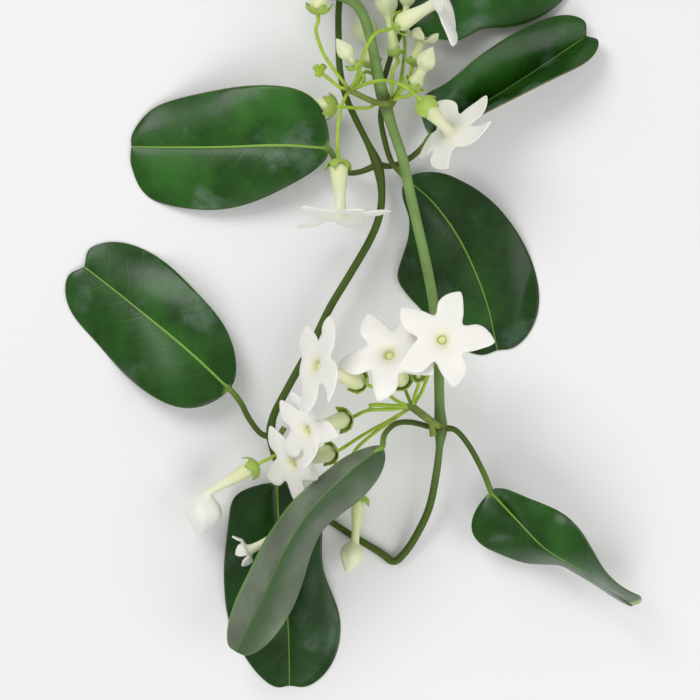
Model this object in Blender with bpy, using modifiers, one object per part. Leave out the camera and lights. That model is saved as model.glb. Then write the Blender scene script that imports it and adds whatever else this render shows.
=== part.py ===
"""Cut spray of Madagascar jasmine, laid flat on a table.

One twining stem runs down from its thick cut end, turns back in a loop and climbs again to its thin
cut end.  Eight leathery leaves sit on it, and three bunches of waxy, five-pointed flowers and buds.
The table is the plane z = 0, and the tops of the bunches point along +Y.
"""

import math

import bmesh
import bpy
from mathutils import Matrix, Vector

# Lengths below are in millimetres, and angles in degrees.
MM = 0.001
COLLECTION = "madagascar_jasmine"
SIDES_OF_SEPALS = 5
GAP = 0.3

# Stem, petioles and flower stalks.
STEM_THICK = 2.35
STEM_MIDDLE = 1.75
STEM_THIN = 1.5
STEM_KNOT = 0.7
PETIOLE = 1.3
PETIOLE_SINK = 7.0
PEDUNCLE = 1.8
PEDICEL = 0.8
YOUNG_BUD = 1.4

# Leaf blades.
BLADE = 0.8
BLADE_ROWS = 11
BLADE_COLUMNS = 4
BLADE_BLUNTNESS = 2.12
TIP_NOTCH = 0.018
NOTCH_SPREAD = 0.16

# Flowers: a tube that swells at its foot, and five pointed lobes.
PETAL = 0.8
TUBE_FOOT = 3.8
TUBE_NECK = 2.1
MOUTH = 4.6
SINUS = 10.3
LOBE_TIP = 23.0
LOBE_HALF_WIDTH = 5.7
LOBE_BOW = 5.5
LOBE_SKEW = -2.0
COROLLA_LIFT = 1.2
FLAT = (0, 0, 0, 0, 0)
BUD_SIDES = 8

# Calyx: a small cup with five pointed sepals.
SEPAL = 0.8
CALYX_CUP = 4.9
SEPAL_TIP = 6.8

COLOURS = {
    "stem": (0.13, 0.28, 0.07),
    "leaf": (0.02, 0.09, 0.015),
    "leaf_back": (0.09, 0.15, 0.07),
    "stalk": (0.30, 0.50, 0.06),
    "petal": (0.88, 0.87, 0.80),
    "bud": (0.62, 0.70, 0.38),
}


def material(name, colour, roughness):
    """Return a new plain material for one piece."""
    made = bpy.data.materials.new(name)
    made.use_nodes = True
    shader = made.node_tree.nodes["Principled BSDF"]
    shader.inputs["Base Color"].default_value = (*COLOURS[colour], 1.0)
    shader.inputs["Roughness"].default_value = roughness
    shader.inputs["Metallic"].default_value = 0.0
    return made


def new_object(name, mesh, collection):
    """Link a new object that carries a mesh."""
    made = bpy.data.objects.new(name, mesh)
    collection.objects.link(made)
    return made


def mesh_of(name, bm):
    """Turn an edit mesh into a mesh, and free it."""
    mesh = bpy.data.meshes.new(name)
    bm.to_mesh(mesh)
    bm.free()
    return mesh


def bake(thing):
    """Put an object's evaluated shape into its own mesh, and drop its modifiers."""
    graph = bpy.context.evaluated_depsgraph_get()
    mesh = bpy.data.meshes.new_from_object(thing.evaluated_get(graph))
    thing.modifiers.clear()
    thing.data = mesh


def boolean(thing, operation, others):
    """Join or cut an object by a list of closed ones, which are then removed."""
    helpers = bpy.data.collections.new(thing.name + "_helpers")
    bpy.context.scene.collection.children.link(helpers)
    for other in others:
        for home in list(other.users_collection):
            home.objects.unlink(other)
        helpers.objects.link(other)
    step = thing.modifiers.new(operation.lower(), "BOOLEAN")
    step.operation = operation
    step.solver = "EXACT"
    step.operand_type = "COLLECTION"
    step.collection = helpers
    bake(thing)
    for other in others:
        bpy.data.objects.remove(other)
    bpy.data.collections.remove(helpers)


def finish(thing, colour, roughness):
    """Give a piece its name's material and smooth shading."""
    thing.data.materials.clear()
    thing.data.materials.append(material(thing.name, colour, roughness))
    thing.data.shade_smooth()
    thing.data.set_sharp_from_angle(angle=math.radians(40))


def smooth_route(points, per_span):
    """Points along a smooth curve through the given ones, each with its radius as a fourth number."""
    row = [Vector(point) for point in points]
    row = [2 * row[0] - row[1]] + row + [2 * row[-1] - row[-2]]
    route = []
    for k in range(1, len(row) - 2):
        before, start, end, after = row[k - 1:k + 3]
        for j in range(per_span):
            t = j / per_span
            bend = 2 * start + (end - before) * t
            bend += (2 * before - 5 * start + 4 * end - after) * t ** 2
            bend += (3 * start - before - 3 * end + after) * t ** 3
            route.append(bend / 2)
    route.append(row[-2])
    return route


def tube(name, route, rounds, collection):
    """A round rod with closed ends along a route of (x, y, z, radius)."""
    curve = bpy.data.curves.new(name, "CURVE")
    curve.dimensions = "3D"
    curve.bevel_depth = MM
    curve.bevel_resolution = rounds
    curve.use_fill_caps = True
    spline = curve.splines.new("POLY")
    spline.points.add(len(route) - 1)
    for point, place in zip(spline.points, route):
        point.co = (place[0] * MM, place[1] * MM, place[2] * MM, 1.0)
        point.radius = place[3]
    rod = new_object(name + "_rod", curve, collection)
    graph = bpy.context.evaluated_depsgraph_get()
    mesh = bpy.data.meshes.new_from_object(rod.evaluated_get(graph))
    bpy.data.objects.remove(rod)
    bm = bmesh.new()
    bm.from_mesh(mesh)
    bmesh.ops.remove_doubles(bm, verts=bm.verts, dist=0.00001)
    bmesh.ops.triangulate(bm, faces=bm.faces)
    bmesh.ops.recalc_face_normals(bm, faces=bm.faces)
    return new_object(name, mesh_of(name, bm), collection)


STEM_ROUTE = [
    # Thick cut end, over the thin one, down to the first knot.
    (-31.5, 160.5, 2.8, STEM_THICK), (-24, 153, 7, STEM_THICK), (-15, 144.5, 14, STEM_THICK),
    (-6, 139, 20, STEM_THICK), (0.5, 135.5, 22, STEM_THICK), (4.5, 130, 22, STEM_THICK),
    (7, 122.5, 22, STEM_THICK), (9.5, 112, 22, STEM_THICK), (11.5, 101, 22, STEM_THICK + STEM_KNOT / 2),
    (14, 91.5, 22, STEM_THICK + STEM_KNOT), (17.5, 80, 21, STEM_THICK), (22.5, 65, 21, STEM_THICK),
    # Down over the large leaf to the knot of the lower bunch.
    (25, 53, 21, STEM_THICK), (29, 35.5, 21, STEM_THICK), (33.5, 15.5, 21, STEM_THICK),
    (37, -5, 20, STEM_THICK), (38.5, -27.5, 19, STEM_THICK), (39, -45.5, 18, STEM_THICK),
    (39.5, -56, 18, STEM_THICK + STEM_KNOT), (39, -64, 17.5, STEM_MIDDLE),
    # The loop, which comes down to the table and turns back.
    (37.5, -77, 15.5, STEM_MIDDLE), (34.5, -92, 11.5, STEM_MIDDLE), (29, -104.5, 7, STEM_MIDDLE),
    (23.5, -113, 4, STEM_MIDDLE), (18.5, -117, 2.4, STEM_MIDDLE), (12.5, -113, 2.2, STEM_MIDDLE),
    (-1.5, -104.5, 2.2, STEM_THIN), (-13, -97, 2.4, STEM_THIN), (-23, -90.5, 4, STEM_THIN),
    (-28, -84, 6.5, STEM_THIN), (-33.5, -74, 9.5, STEM_THIN), (-37, -60, 13, STEM_THIN + STEM_KNOT),
    # Up again behind the flowers, past the knot of the first pair of leaves, to the thin cut end.
    (-36, -50.5, 14, STEM_MIDDLE), (-31, -40.5, 15, STEM_MIDDLE), (-25.5, -30.5, 15.5, STEM_MIDDLE),
    (-18.5, -18, 15.5, STEM_MIDDLE), (-10.5, -1.5, 15, STEM_MIDDLE), (-1.5, 13.5, 14, STEM_MIDDLE),
    (7.5, 29, 12.5, STEM_MIDDLE), (12, 40.5, 12, STEM_MIDDLE), (13, 52, 12, STEM_MIDDLE),
    (11, 63.5, 12, STEM_MIDDLE + STEM_KNOT), (6.5, 73.5, 12, STEM_THIN),
    (1, 84.5, 13, STEM_THIN), (-3.5, 95, 14, STEM_THIN), (-6, 107, 14, STEM_THIN),
    (-6.5, 120, 13.5, STEM_THIN), (-6.5, 133.5, 13, STEM_THIN), (-5, 144.5, 11, STEM_THIN),
    (-1, 156, 6, STEM_THIN), (4.5, 167, 2, STEM_THIN),
]


def stem(name, extra, collection):
    """The one long stem, made fatter by extra where it cuts its neighbours clear."""
    fat = [(x, y, z, radius + extra) for x, y, z, radius in STEM_ROUTE]
    return tube(name, smooth_route(fat, 1), 2, collection)


def cut_clear(thing, collection):
    """Keep a piece's foot a small gap off the stem."""
    boolean(thing, "DIFFERENCE", [stem("stem_room", GAP, collection)])


def stretched(points):
    """A list of points with one more at each end, as a smooth curve through them needs."""
    return [2 * points[0] - points[1]] + points + [2 * points[-1] - points[-2]]


def curve_place(points, share):
    """Place and direction on a smooth curve through all but the first and last of some points."""
    spans = len(points) - 3
    where = min(max(share, 0.0), 1.0) * spans
    k = min(int(where), spans - 1)
    t = where - k
    before, start, end, after = points[k:k + 4]
    place = 2 * start + (end - before) * t + (2 * before - 5 * start + 4 * end - after) * t ** 2
    place += (3 * start - before - 3 * end + after) * t ** 3
    way = (end - before) + 2 * (2 * before - 5 * start + 4 * end - after) * t
    way += 3 * (3 * start - before - 3 * end + after) * t ** 2
    return place / 2, way.normalized()


def leaf(name, rib, petiole, left, right, collection, wave=(0, 1, 0), notch=TIP_NOTCH, colour="leaf"):
    """A blade bent along its midrib, with its petiole.

    left and right each hold how far that half's margin lies out from the midrib, and how far above it,
    at even steps from the base to the tip of a plain oval, and how much the half bulges in between.
    """
    points = [Vector(point) for point in rib]
    ends = stretched(points)
    length = sum((points[k + 1] - points[k]).length for k in range(len(points) - 1))
    halves = []
    for outs, lifts, bulge in (left, right):
        halves.append((stretched([Vector(pair) for pair in zip(outs, lifts)]), bulge))
    height, waves, phase = wave
    power = 2 / BLADE_BLUNTNESS
    bm = bmesh.new()
    bmesh.ops.create_grid(bm, x_segments=2 * BLADE_COLUMNS, y_segments=BLADE_ROWS, size=1.0)
    for vert in bm.verts:
        across = abs(vert.co.x)
        side = 1 if vert.co.x < 0 else -1
        half, bulge = halves[0 if side > 0 else 1]
        angle = math.pi * (vert.co.y + 1) / 2
        swell = max(math.sin(angle), 0.0) ** power
        share = (1 - math.copysign(abs(math.cos(angle)) ** power, math.cos(angle))) / 2
        margin, _ = curve_place(half, share)
        if share > 0.5:
            share -= notch * math.exp(-(across * swell / NOTCH_SPREAD) ** 2)
        place, way = curve_place(ends, share)
        side_way = Vector((0, 0, 1)).cross(way).normalized()
        up = way.cross(side_way)
        ripple = height * (across * swell) ** 2 * math.sin(2 * math.pi * (waves * share + phase) + side)
        vert.co = place + side * side_way * margin.x * swell * across
        vert.co += up * (margin.y * swell * across + 4 * bulge * swell * across * (1 - across) + ripple)
        vert.co.z = max(vert.co.z, BLADE / 2)
        vert.co *= MM
    bmesh.ops.remove_doubles(bm, verts=bm.verts, dist=0.00002)
    bmesh.ops.triangulate(bm, faces=bm.faces)
    bmesh.ops.recalc_face_normals(bm, faces=bm.faces)
    blade = new_object(name, mesh_of(name, bm), collection)
    wall = blade.modifiers.new("blade", "SOLIDIFY")
    wall.thickness = BLADE * MM
    wall.offset = 0.0
    bake(blade)
    stalk = [(*point, PETIOLE) for point in petiole]
    for sink in (0.0, 0.5, 1.0):
        place, _ = curve_place(ends, sink * PETIOLE_SINK / length)
        stalk.append((*place, PETIOLE * (1 - 0.45 * sink)))
    boolean(blade, "UNION", [tube(name + "_petiole", smooth_route(stalk, 1), 1, collection)])
    cut_clear(blade, collection)
    finish(blade, colour, 0.35)
    return blade


def along(foot, tip):
    """A frame at foot whose Z axis points at tip, and its distance."""
    way = Vector(tip) - Vector(foot)
    side = Vector((0, 0, 1)).cross(way)
    side = side.normalized() if side.length > 0.001 else Vector((1, 0, 0))
    ahead = way.normalized()
    turn = Matrix((side, ahead.cross(side), ahead)).transposed().to_4x4()
    return Matrix.Translation(Vector(foot)) @ turn, way.length


def rings(profile, sides, start=0.0):
    """An open round sheet through rings of (height, radius), closed at its foot."""
    bm = bmesh.new()
    height, radius = profile[0]
    place = Matrix.Translation((0, 0, height)) @ Matrix.Rotation(start, 4, "Z")
    bmesh.ops.create_circle(bm, cap_ends=True, cap_tris=True, segments=sides, radius=radius, matrix=place)
    rim = [edge for edge in bm.edges if edge.is_boundary]
    for height, radius in profile[1:]:
        made = bmesh.ops.extrude_edge_only(bm, edges=rim)["geom"]
        for vert in made:
            if isinstance(vert, bmesh.types.BMVert):
                flat = vert.co.xy.normalized() * radius
                vert.co = (flat.x, flat.y, height)
        rim = [edge for edge in made if isinstance(edge, bmesh.types.BMEdge) and edge.is_boundary]
    return bm, rim


def lobe(bm, edges, centre, rows):
    """Pull one lobe out of some rim edges, through rows of (reach, half width, height, turn)."""
    first = {vert for edge in edges for vert in edge.verts}

    def share(vert):
        angle = math.atan2(vert.co.y, vert.co.x) - centre
        return math.sin(angle)

    widest = max(share(vert) for vert in first)
    for reach, half_width, height, turn in rows:
        made = bmesh.ops.extrude_edge_only(bm, edges=edges)["geom"]
        verts = [vert for vert in made if isinstance(vert, bmesh.types.BMVert)]
        ordered = sorted(verts, key=share)
        for k, vert in enumerate(ordered):
            s = -1 + 2 * k / (len(ordered) - 1)
            spot = Matrix.Rotation(centre + math.radians(turn), 3, "Z") @ Vector((reach, half_width * s, 0))
            vert.co = (spot.x, spot.y, height)
        edges = [edge for edge in made
                 if isinstance(edge, bmesh.types.BMEdge) and set(edge.verts) <= set(verts)]


def sheet_object(name, bm, frame, thickness, collection):
    """Stand a sheet in its frame and give it a wall."""
    bmesh.ops.remove_doubles(bm, verts=bm.verts, dist=0.0001)
    bmesh.ops.triangulate(bm, faces=bm.faces)
    bmesh.ops.recalc_face_normals(bm, faces=bm.faces)
    bm.transform(Matrix.Scale(MM, 4) @ frame)
    made = new_object(name, mesh_of(name, bm), collection)
    wall = made.modifiers.new("wall", "SOLIDIFY")
    wall.thickness = thickness * MM
    wall.offset = 0.0
    bake(made)
    return made


def corolla(name, foot, mouth, collection, turn=0, size=1.0, bends=FLAT, twists=FLAT):
    """An open flower: its tube from foot to mouth, and five lobes.

    Each lobe's bend is its rise in degrees towards the front, and its twist swings its tip sideways.
    turn is where the first one points.
    """
    frame, length = along(foot, mouth)
    width = (1 + size) / 2
    tube_rings = [
        (COROLLA_LIFT, TUBE_FOOT * 0.58 * width), (COROLLA_LIFT + 2.2, TUBE_FOOT * width),
        (length * 0.6, TUBE_NECK * width), (length * 0.96, MOUTH * 0.7 * width), (length, SINUS * size),
    ]
    sides = 10
    start = math.radians(turn) + math.pi / 5
    bm, rim = rings(tube_rings, sides, start)
    for k, (bend, twist) in enumerate(zip(bends, twists)):
        centre = math.radians(turn) + 2 * math.pi * k / 5
        edges = []
        for edge in rim:
            middle = (edge.verts[0].co + edge.verts[1].co) / 2
            angle = math.atan2(middle.y, middle.x) - centre
            if math.cos(angle) > math.cos(math.pi / 5):
                edges.append(edge)
        rise = math.radians(bend)
        rows = []
        for out, wide in ((0.36, 1.0), (0.72, 0.72), (1.0, 0.13)):
            run = (LOBE_TIP - SINUS) * out * size
            swing = LOBE_BOW * math.sin(math.pi * out) + (LOBE_SKEW + twist) * out
            rows.append((
                SINUS * size + run * math.cos(rise), LOBE_HALF_WIDTH * wide * size,
                length + run * math.sin(rise) - 0.9 * out * out, swing,
            ))
        lobe(bm, edges, centre, rows)
    made = sheet_object(name, bm, frame, PETAL, collection)
    finish(made, "petal", 0.45)
    return made


def bud(name, foot, neck, tip, collection, swell=4.5, tube_width=1.0, colour="bud"):
    """A closed flower: a tube from foot to neck, and a swollen head that ends in a blunt point."""
    frame, length = along(foot, neck)
    ahead = Vector(tip) - Vector(neck)
    head = ahead.length
    bent = Vector((0, 0, 1)).rotation_difference(frame.to_3x3().inverted() @ ahead)
    top = Vector((0, 0, length))
    profile = [(COROLLA_LIFT, TUBE_FOOT * 0.58 * tube_width)]
    if length > COROLLA_LIFT + 4:
        profile.append((COROLLA_LIFT + 2.2, TUBE_FOOT * tube_width))
    profile.append((length, TUBE_NECK * tube_width))
    for out, wide in ((0.2, 0.78), (0.42, 1.0), (0.75, 0.62), (1.0, 0.0)):
        profile.append((length + head * out, swell * wide))
    bm, _ = rings(profile, BUD_SIDES)
    for vert in bm.verts:
        if vert.co.z > length:
            vert.co = top + bent @ (vert.co - top)
    bmesh.ops.remove_doubles(bm, verts=bm.verts, dist=0.01)
    bmesh.ops.triangulate(bm, faces=bm.faces)
    bmesh.ops.recalc_face_normals(bm, faces=bm.faces)
    bm.transform(Matrix.Scale(MM, 4) @ frame)
    made = new_object(name, mesh_of(name, bm), collection)
    finish(made, colour, 0.45)
    return made


def calyx(name, foot, mouth, collection, size=1.0, turn=0.0):
    """The small green cup behind a flower, with its five pointed sepals."""
    frame, _ = along(foot, mouth)
    cup = [(0.0, 2.6 * size), (2.0 * size, CALYX_CUP * size)]
    bm, rim = rings(cup, SIDES_OF_SEPALS, math.radians(turn))
    for edge in list(rim):
        middle = (edge.verts[0].co + edge.verts[1].co) / 2
        rows = [(5.3 * size, 1.7 * size, 3.4 * size, 0), (SEPAL_TIP * size, 0.3 * size, 5.0 * size, 0)]
        lobe(bm, [edge], math.atan2(middle.y, middle.x), rows)
    return sheet_object(name, bm, frame, SEPAL, collection)


def stalks(name, rods, calyxes, collection):
    """A bunch's stalks and calyxes, fused into one piece."""
    first = None
    others = []
    for k, (points, radius, per_span) in enumerate(rods):
        route = [(*point, radius) for point in points]
        made = tube(f"{name}_{k}", smooth_route(route, per_span), 1, collection)
        if first is None:
            first = made
            first.name = name
        else:
            others.append(made)
    for k, (foot, mouth, *_, size, turn) in enumerate(calyxes):
        others.append(calyx(f"{name}_calyx_{k}", foot, mouth, collection, size, turn))
    boolean(first, "UNION", others)
    cut_clear(first, collection)
    finish(first, "stalk", 0.5)
    return first


def pedicel(start, through, foot, mouth, *beyond):
    """A flower stalk that comes into the calyx along its axis."""
    ahead = (Vector(mouth) - Vector(foot)).normalized()
    near = Vector(foot) - ahead * 3.0
    inside = Vector(foot) + ahead * 0.1
    return [start, *through, tuple(near), tuple(inside)], PEDICEL, 1


def leaves(collection):
    """The eight leaves, each from its knot on the stem."""
    leaf("leaf_upper_left",
         [(-11, 70.5, 14), (-33, 72, 14), (-60.5, 71.5, 11), (-88, 72, 4), (-102, 72.5, 0.8)],
         [(11, 63.5, 12), (4, 60.5, 11), (-2.5, 60, 12), (-7.5, 65, 13)],
         ((18, 23, 28, 28.5, 30), (0, 0, -4, -4, -2), 2), ((37, 30, 26, 22.5, 19), (6, 3, 1, -3, -2), 1.5),
         collection, wave=(1.5, 1.5, 0.1))
    leaf("leaf_left",
         [(-56, -38, 12), (-75, -20.5, 10), (-99, -1, 5), (-126.5, 20.5, 0.8)],
         [(-37, -60, 13), (-42, -58, 14), (-47, -51.5, 14), (-51, -44, 13)],
         ((32, 28.5, 27, 26.5, 33), (2, 0, -3, -4, -2), 2), ((18, 21, 23, 27, 32), (2, 2, 0, -3, -2), 1.5),
         collection, wave=(1.5, 1.5, 0.6), notch=0.045)
    leaf("leaf_upper_right",
         [(35, 76.5, 10), (53, 87.5, 8), (80.5, 105, 6), (110, 125, 4)],
         [(11, 63.5, 12), (17.5, 63, 9.5), (25, 66, 9.5), (31.5, 71.5, 10)],
         ((32, 18.5, 18.5, 21, 25), (6, 11, 13, 11, 8), 2),
         ((4, 4.5, 6, 10, 20), (18, 20, 20, 18, 12), 1.5),
         collection, wave=(1.0, 1.5, 0.3), notch=0.04)
    leaf("leaf_top",
         [(23.5, 127.5, 8), (34, 137, 8), (51, 146.5, 6), (74, 152.5, 3), (101, 155.5, 1)],
         [(12.5, 98, 21), (15, 105, 15), (18, 115.5, 9.5), (21.5, 123, 8)],
         ((24, 24, 25, 25, 25), (4, 3, 2, 1, 0), 2), ((22, 24, 22.5, 28, 31), (0, 0, 2, 2, 1), 2),
         collection, wave=(1.5, 1.5, 0.1))
    leaf("leaf_middle_right",
         [(24.5, 57, 9), (37, 46, 7), (49.5, 28.5, 4), (60.5, 3, 1.5), (66.5, -22.5, 0)],
         [(14, 91.5, 22), (12.5, 84.5, 16), (14.5, 73.5, 14.5), (17.5, 64.5, 13.5), (21.5, 60, 11)],
         ((13, 18, 23.5, 28.5, 31), (2, 2, 1, -2, -3), 1.5), ((15, 17, 33, 31, 32), (0, 0, -2, -3, -2), 2),
         collection, wave=(1.5, 1.5, 0.35))
    leaf("leaf_lower_right",
         [(62.5, -84.5, 14), (74, -97, 18), (86, -109.5, 23), (101, -118.5, 24),
          (115, -128, 20), (127.5, -136.5, 14)],
         [(39.5, -56, 18), (46, -56.5, 19), (52.5, -64, 18), (59, -76, 15.5)],
         ((11, 13, 17.5, 16, 6, 6, 13), (14, 12, 6, 8, 17, 19, 14), 2),
         ((38, 25, 12, 4, 3, 2.5, 4), (-4, -6, -16, -20, -20, -17, -10), 3),
         collection, wave=(1.0, 1.5, 0.2))
    leaf("leaf_front",
         [(13, -63, 42), (-1.5, -73.5, 54), (-18, -89.5, 57), (-30.5, -109, 52),
          (-41, -132, 42), (-53.5, -157.5, 26)],
         [(39.5, -56, 18), (34, -55, 17), (26, -53, 20), (19, -53.5, 27), (14, -58, 35)],
         ((21, 14, 10, 15.5, 24), (-10, -12, -15, -18, -11), 2.5),
         ((9, 7, 8, 11, 19), (-16, -20, -24, -23, -15), 2.5),
         collection, wave=(0.8, 1.5, 0.0), colour="leaf_back")
    leaf("leaf_bottom",
         [(-34.5, -81, 7), (-34, -95.5, 5), (-31.5, -121, 3), (-29.5, -148.5, 1.5), (-29, -176, 0)],
         [(-37, -60, 13), (-34.5, -64, 9), (-33, -70, 6.5), (-33.5, -76, 6.5)],
         ((23, 22, 18, 27, 32), (2, 2, 3, -1, -3), 2), ((33, 25.5, 27.5, 29, 26), (1, -1, -2, -3, -3), 2),
         collection, wave=(1.2, 1.5, 0.55))


UPPER_HEART = (-1.5, 95.5, 28)
SIDE_HEART = (17, 90.5, 25)
LOWER_HEART = (26.5, -46, 27)
BACK_HEART = (-32.5, -64.5, 16)

# Every flower and bud of a bunch: where its calyx sits and where its mouth or tip is.
TOP_FLOWER = ((-15.5, 129.5, 28), (-14.5, 153.5, 33))
THROWN_FLOWER = ((18.5, 124, 29), (38.5, 134, 40))
FACING_AWAY = ((30, 88.5, 50), (43.5, 75.5, 37))
HANGING = ((-6.5, 64.5, 31), (-5.5, 39, 35))
HALF_OPEN = ((27, 107.5, 20), (30.5, 119, 22))
PALE_BUD = ((2, 105, 32), (-0.5, 108.5, 33), (-7.5, 118, 34))
BEHIND_BUD = ((8.5, 107.5, 12), (7, 118.5, 10), (3.5, 135, 8.5))
TOP_BUD_LEFT = ((19.5, 112, 19), (16, 129, 18.5), (13.5, 146.5, 18))
TOP_BUD_RIGHT = ((23, 125.5, 16.5), (24, 134, 17), (25, 143.5, 18))
RIGHT_BUD = ((26, 95.5, 29), (30.5, 103.5, 31), (35.5, 114.5, 33))
TUCKED_BUD = ((-7.5, 89.5, 15), (-25, 91, 9), (-37, 92, 7))

FACING = ((37.5, -22, 31), (39, -15.5, 57))
LEFT_OF_FACING = ((22, -35, 23), (15.5, -22, 49))
SMALL_BUD = ((29, -34, 35), (29, -30, 38), (28.5, -25, 42))
SIDEWAYS = ((5, -35.5, 37), (-17, -27, 54))
UPPER_TWIN = ((-2, -51, 28), (-21, -56, 46))
LOWER_TWIN = ((-8.5, -66.5, 14), (-27.5, -71, 31))
HANGING_BUD = ((2.5, -86, 11), (1, -106.5, 10), (-3, -122, 9))

CREAM_BUD = ((-43, -72, 21), (-66, -85, 18), (-69.5, -105, 14))
HIDDEN_FLOWER = ((-27.5, -101.5, 19), (-47.5, -111, 17.5))


def upper_bunch(collection):
    """The bunch at the top, with its flowers and buds."""
    rods = [
        ([(18, 90, 24), (14.5, 89.5, 28), (10.5, 90, 29), (5.5, 92, 29), UPPER_HEART, (-2.5, 96, 28)],
         PEDUNCLE * 0.75, 1),
        ([(16.5, 89, 23), SIDE_HEART, (18, 91.5, 26)], PEDUNCLE, 1),
        pedicel(UPPER_HEART, [(-6.5, 102, 29), (-13, 111.5, 29), (-16.5, 121.5, 28)], *TOP_FLOWER),
        pedicel(UPPER_HEART, [(2, 101.5, 31), (5, 112, 32), (10, 120.5, 31)], *THROWN_FLOWER),
        pedicel(UPPER_HEART, [(6, 98, 33), (14, 98.5, 42), (22.5, 95, 51)], *FACING_AWAY),
        pedicel(UPPER_HEART, [(-4.5, 90, 31), (-6.5, 81, 33), (-7, 71, 32)], *HANGING),
        pedicel(UPPER_HEART, [(3.5, 97.5, 29), (5, 100.5, 31)], *PALE_BUD),
        pedicel(UPPER_HEART, [(2, 99, 23), (5.5, 105, 17)], *BEHIND_BUD),
        ([UPPER_HEART, (-6.5, 97.5, 26), (-11.5, 101.5, 25), (-15, 104, 26)], PEDICEL, 1),
        pedicel(SIDE_HEART, [(17.5, 99, 22), (18, 105.5, 20)], *TOP_BUD_LEFT),
        pedicel(SIDE_HEART, [(21, 98.5, 18), (23, 111, 12), (23.5, 118, 13)], *TOP_BUD_RIGHT),
        pedicel(SIDE_HEART, [(22, 96.5, 21), (25.5, 102, 18)], *HALF_OPEN),
        pedicel(SIDE_HEART, [(20.5, 92.5, 27)], *RIGHT_BUD),
        pedicel((11, 90, 28), [(6.5, 88, 24), (-0.5, 88.5, 20)], *TUCKED_BUD),
    ]
    for spot in ((-17, 106.5, 27), (-13, 106.5, 28), (-16, 102, 26)):
        rods.append(([(-15, 104, 26), spot], YOUNG_BUD, 1))
    calyxes = [
        (*TOP_FLOWER, 1.0, 10), (*THROWN_FLOWER, 1.0, 0), (*FACING_AWAY, 1.0, 20), (*HANGING, 1.0, 5),
        (*PALE_BUD, 0.75, 0), (*BEHIND_BUD, 0.8, 0), (*TOP_BUD_LEFT, 0.7, 0), (*TOP_BUD_RIGHT, 0.7, 0),
        (*HALF_OPEN, 0.85, 30), (*RIGHT_BUD, 1.0, 0), (*TUCKED_BUD, 1.0, 15),
    ]
    stalks("stalks_upper", rods, calyxes, collection)
    corolla("flower_top", *TOP_FLOWER, collection, turn=14)
    corolla("flower_thrown", *THROWN_FLOWER, collection, turn=159, bends=(0, -30, 0, 0, 50))
    corolla("flower_facing_away", *FACING_AWAY, collection, turn=4, bends=(0, 0, 0, 30, -10),
            twists=(0, -24, -20, 0, 0))
    corolla("flower_hanging", *HANGING, collection, turn=-6, bends=(-5, 12, -4, 14, 6))
    corolla("flower_half_open", *HALF_OPEN, collection, turn=0, size=0.5, bends=(60, 60, 60, 60, 60))
    bud("bud_pale", *PALE_BUD, collection, swell=3.9, tube_width=0.7)
    bud("bud_behind", *BEHIND_BUD, collection, swell=6.0, tube_width=0.7)
    bud("bud_top_left", *TOP_BUD_LEFT, collection, swell=5.4, tube_width=0.65)
    bud("bud_top_right", *TOP_BUD_RIGHT, collection, swell=3.8, tube_width=0.65)
    bud("bud_right", *RIGHT_BUD, collection, swell=4.5, tube_width=1.0)
    bud("bud_tucked", *TUCKED_BUD, collection, swell=4.4, tube_width=0.95, colour="petal")


def lower_bunch(collection):
    """The bunch in the middle, with most of the open flowers."""
    rods = [
        ([(38.5, -54.5, 21), (35, -52.5, 25), (30.5, -49, 27), LOWER_HEART, (25, -44.5, 27)], PEDUNCLE, 1),
        ([(35, -52.5, 25), (35.5, -56, 24), (36, -59, 23.5)], PEDUNCLE * 0.8, 1),
        pedicel(LOWER_HEART, [(30.5, -39.5, 28), (34, -31, 27)], *FACING),
        pedicel(LOWER_HEART, [(24.5, -41, 23)], *LEFT_OF_FACING),
        pedicel(LOWER_HEART, [(27.5, -41, 30)], *SMALL_BUD),
        pedicel(LOWER_HEART, [(20, -43.5, 29), (14, -39, 30)], *SIDEWAYS),
        pedicel(LOWER_HEART, [(16.5, -47, 28), (6.5, -47.5, 30)], *UPPER_TWIN),
        pedicel(LOWER_HEART, [(16.5, -52, 24), (5, -58.5, 19)], *LOWER_TWIN),
        pedicel(LOWER_HEART, [(17.5, -52, 22), (2.5, -64, 17), (-1.5, -73, 14), (1.5, -80.5, 13)],
                *HANGING_BUD),
        ([LOWER_HEART, (18, -45.5, 29), (11, -45, 30), (7, -45.5, 30)], PEDICEL * 1.2, 1),
    ]
    calyxes = [
        (*FACING, 1.0, 0), (*LEFT_OF_FACING, 1.0, 20), (*SMALL_BUD, 0.6, 0), (*SIDEWAYS, 1.0, 0),
        (*UPPER_TWIN, 1.0, 10), (*LOWER_TWIN, 1.0, 0), (*HANGING_BUD, 0.95, 0),
    ]
    stalks("stalks_lower", rods, calyxes, collection)
    corolla("flower_facing", *FACING, collection, turn=48, bends=(-8, -35, 0, 0, -8))
    corolla("flower_left_of_facing", *LEFT_OF_FACING, collection, turn=-16)
    corolla("flower_sideways", *SIDEWAYS, collection, turn=16, bends=(8, 0, 0, 0, -70),
            twists=(8, -30, 30, 0, 0))
    corolla("flower_upper_twin", *UPPER_TWIN, collection, turn=4, size=0.86, bends=(50, 0, 30, 0, 0),
            twists=(0, 0, 25, 0, 0))
    corolla("flower_lower_twin", *LOWER_TWIN, collection, turn=-6, size=0.9, bends=(0, 16, -40, 0, 0))
    bud("bud_small", *SMALL_BUD, collection, swell=2.0, tube_width=0.5)
    bud("bud_hanging", *HANGING_BUD, collection, swell=5.4, tube_width=0.8)


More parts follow.
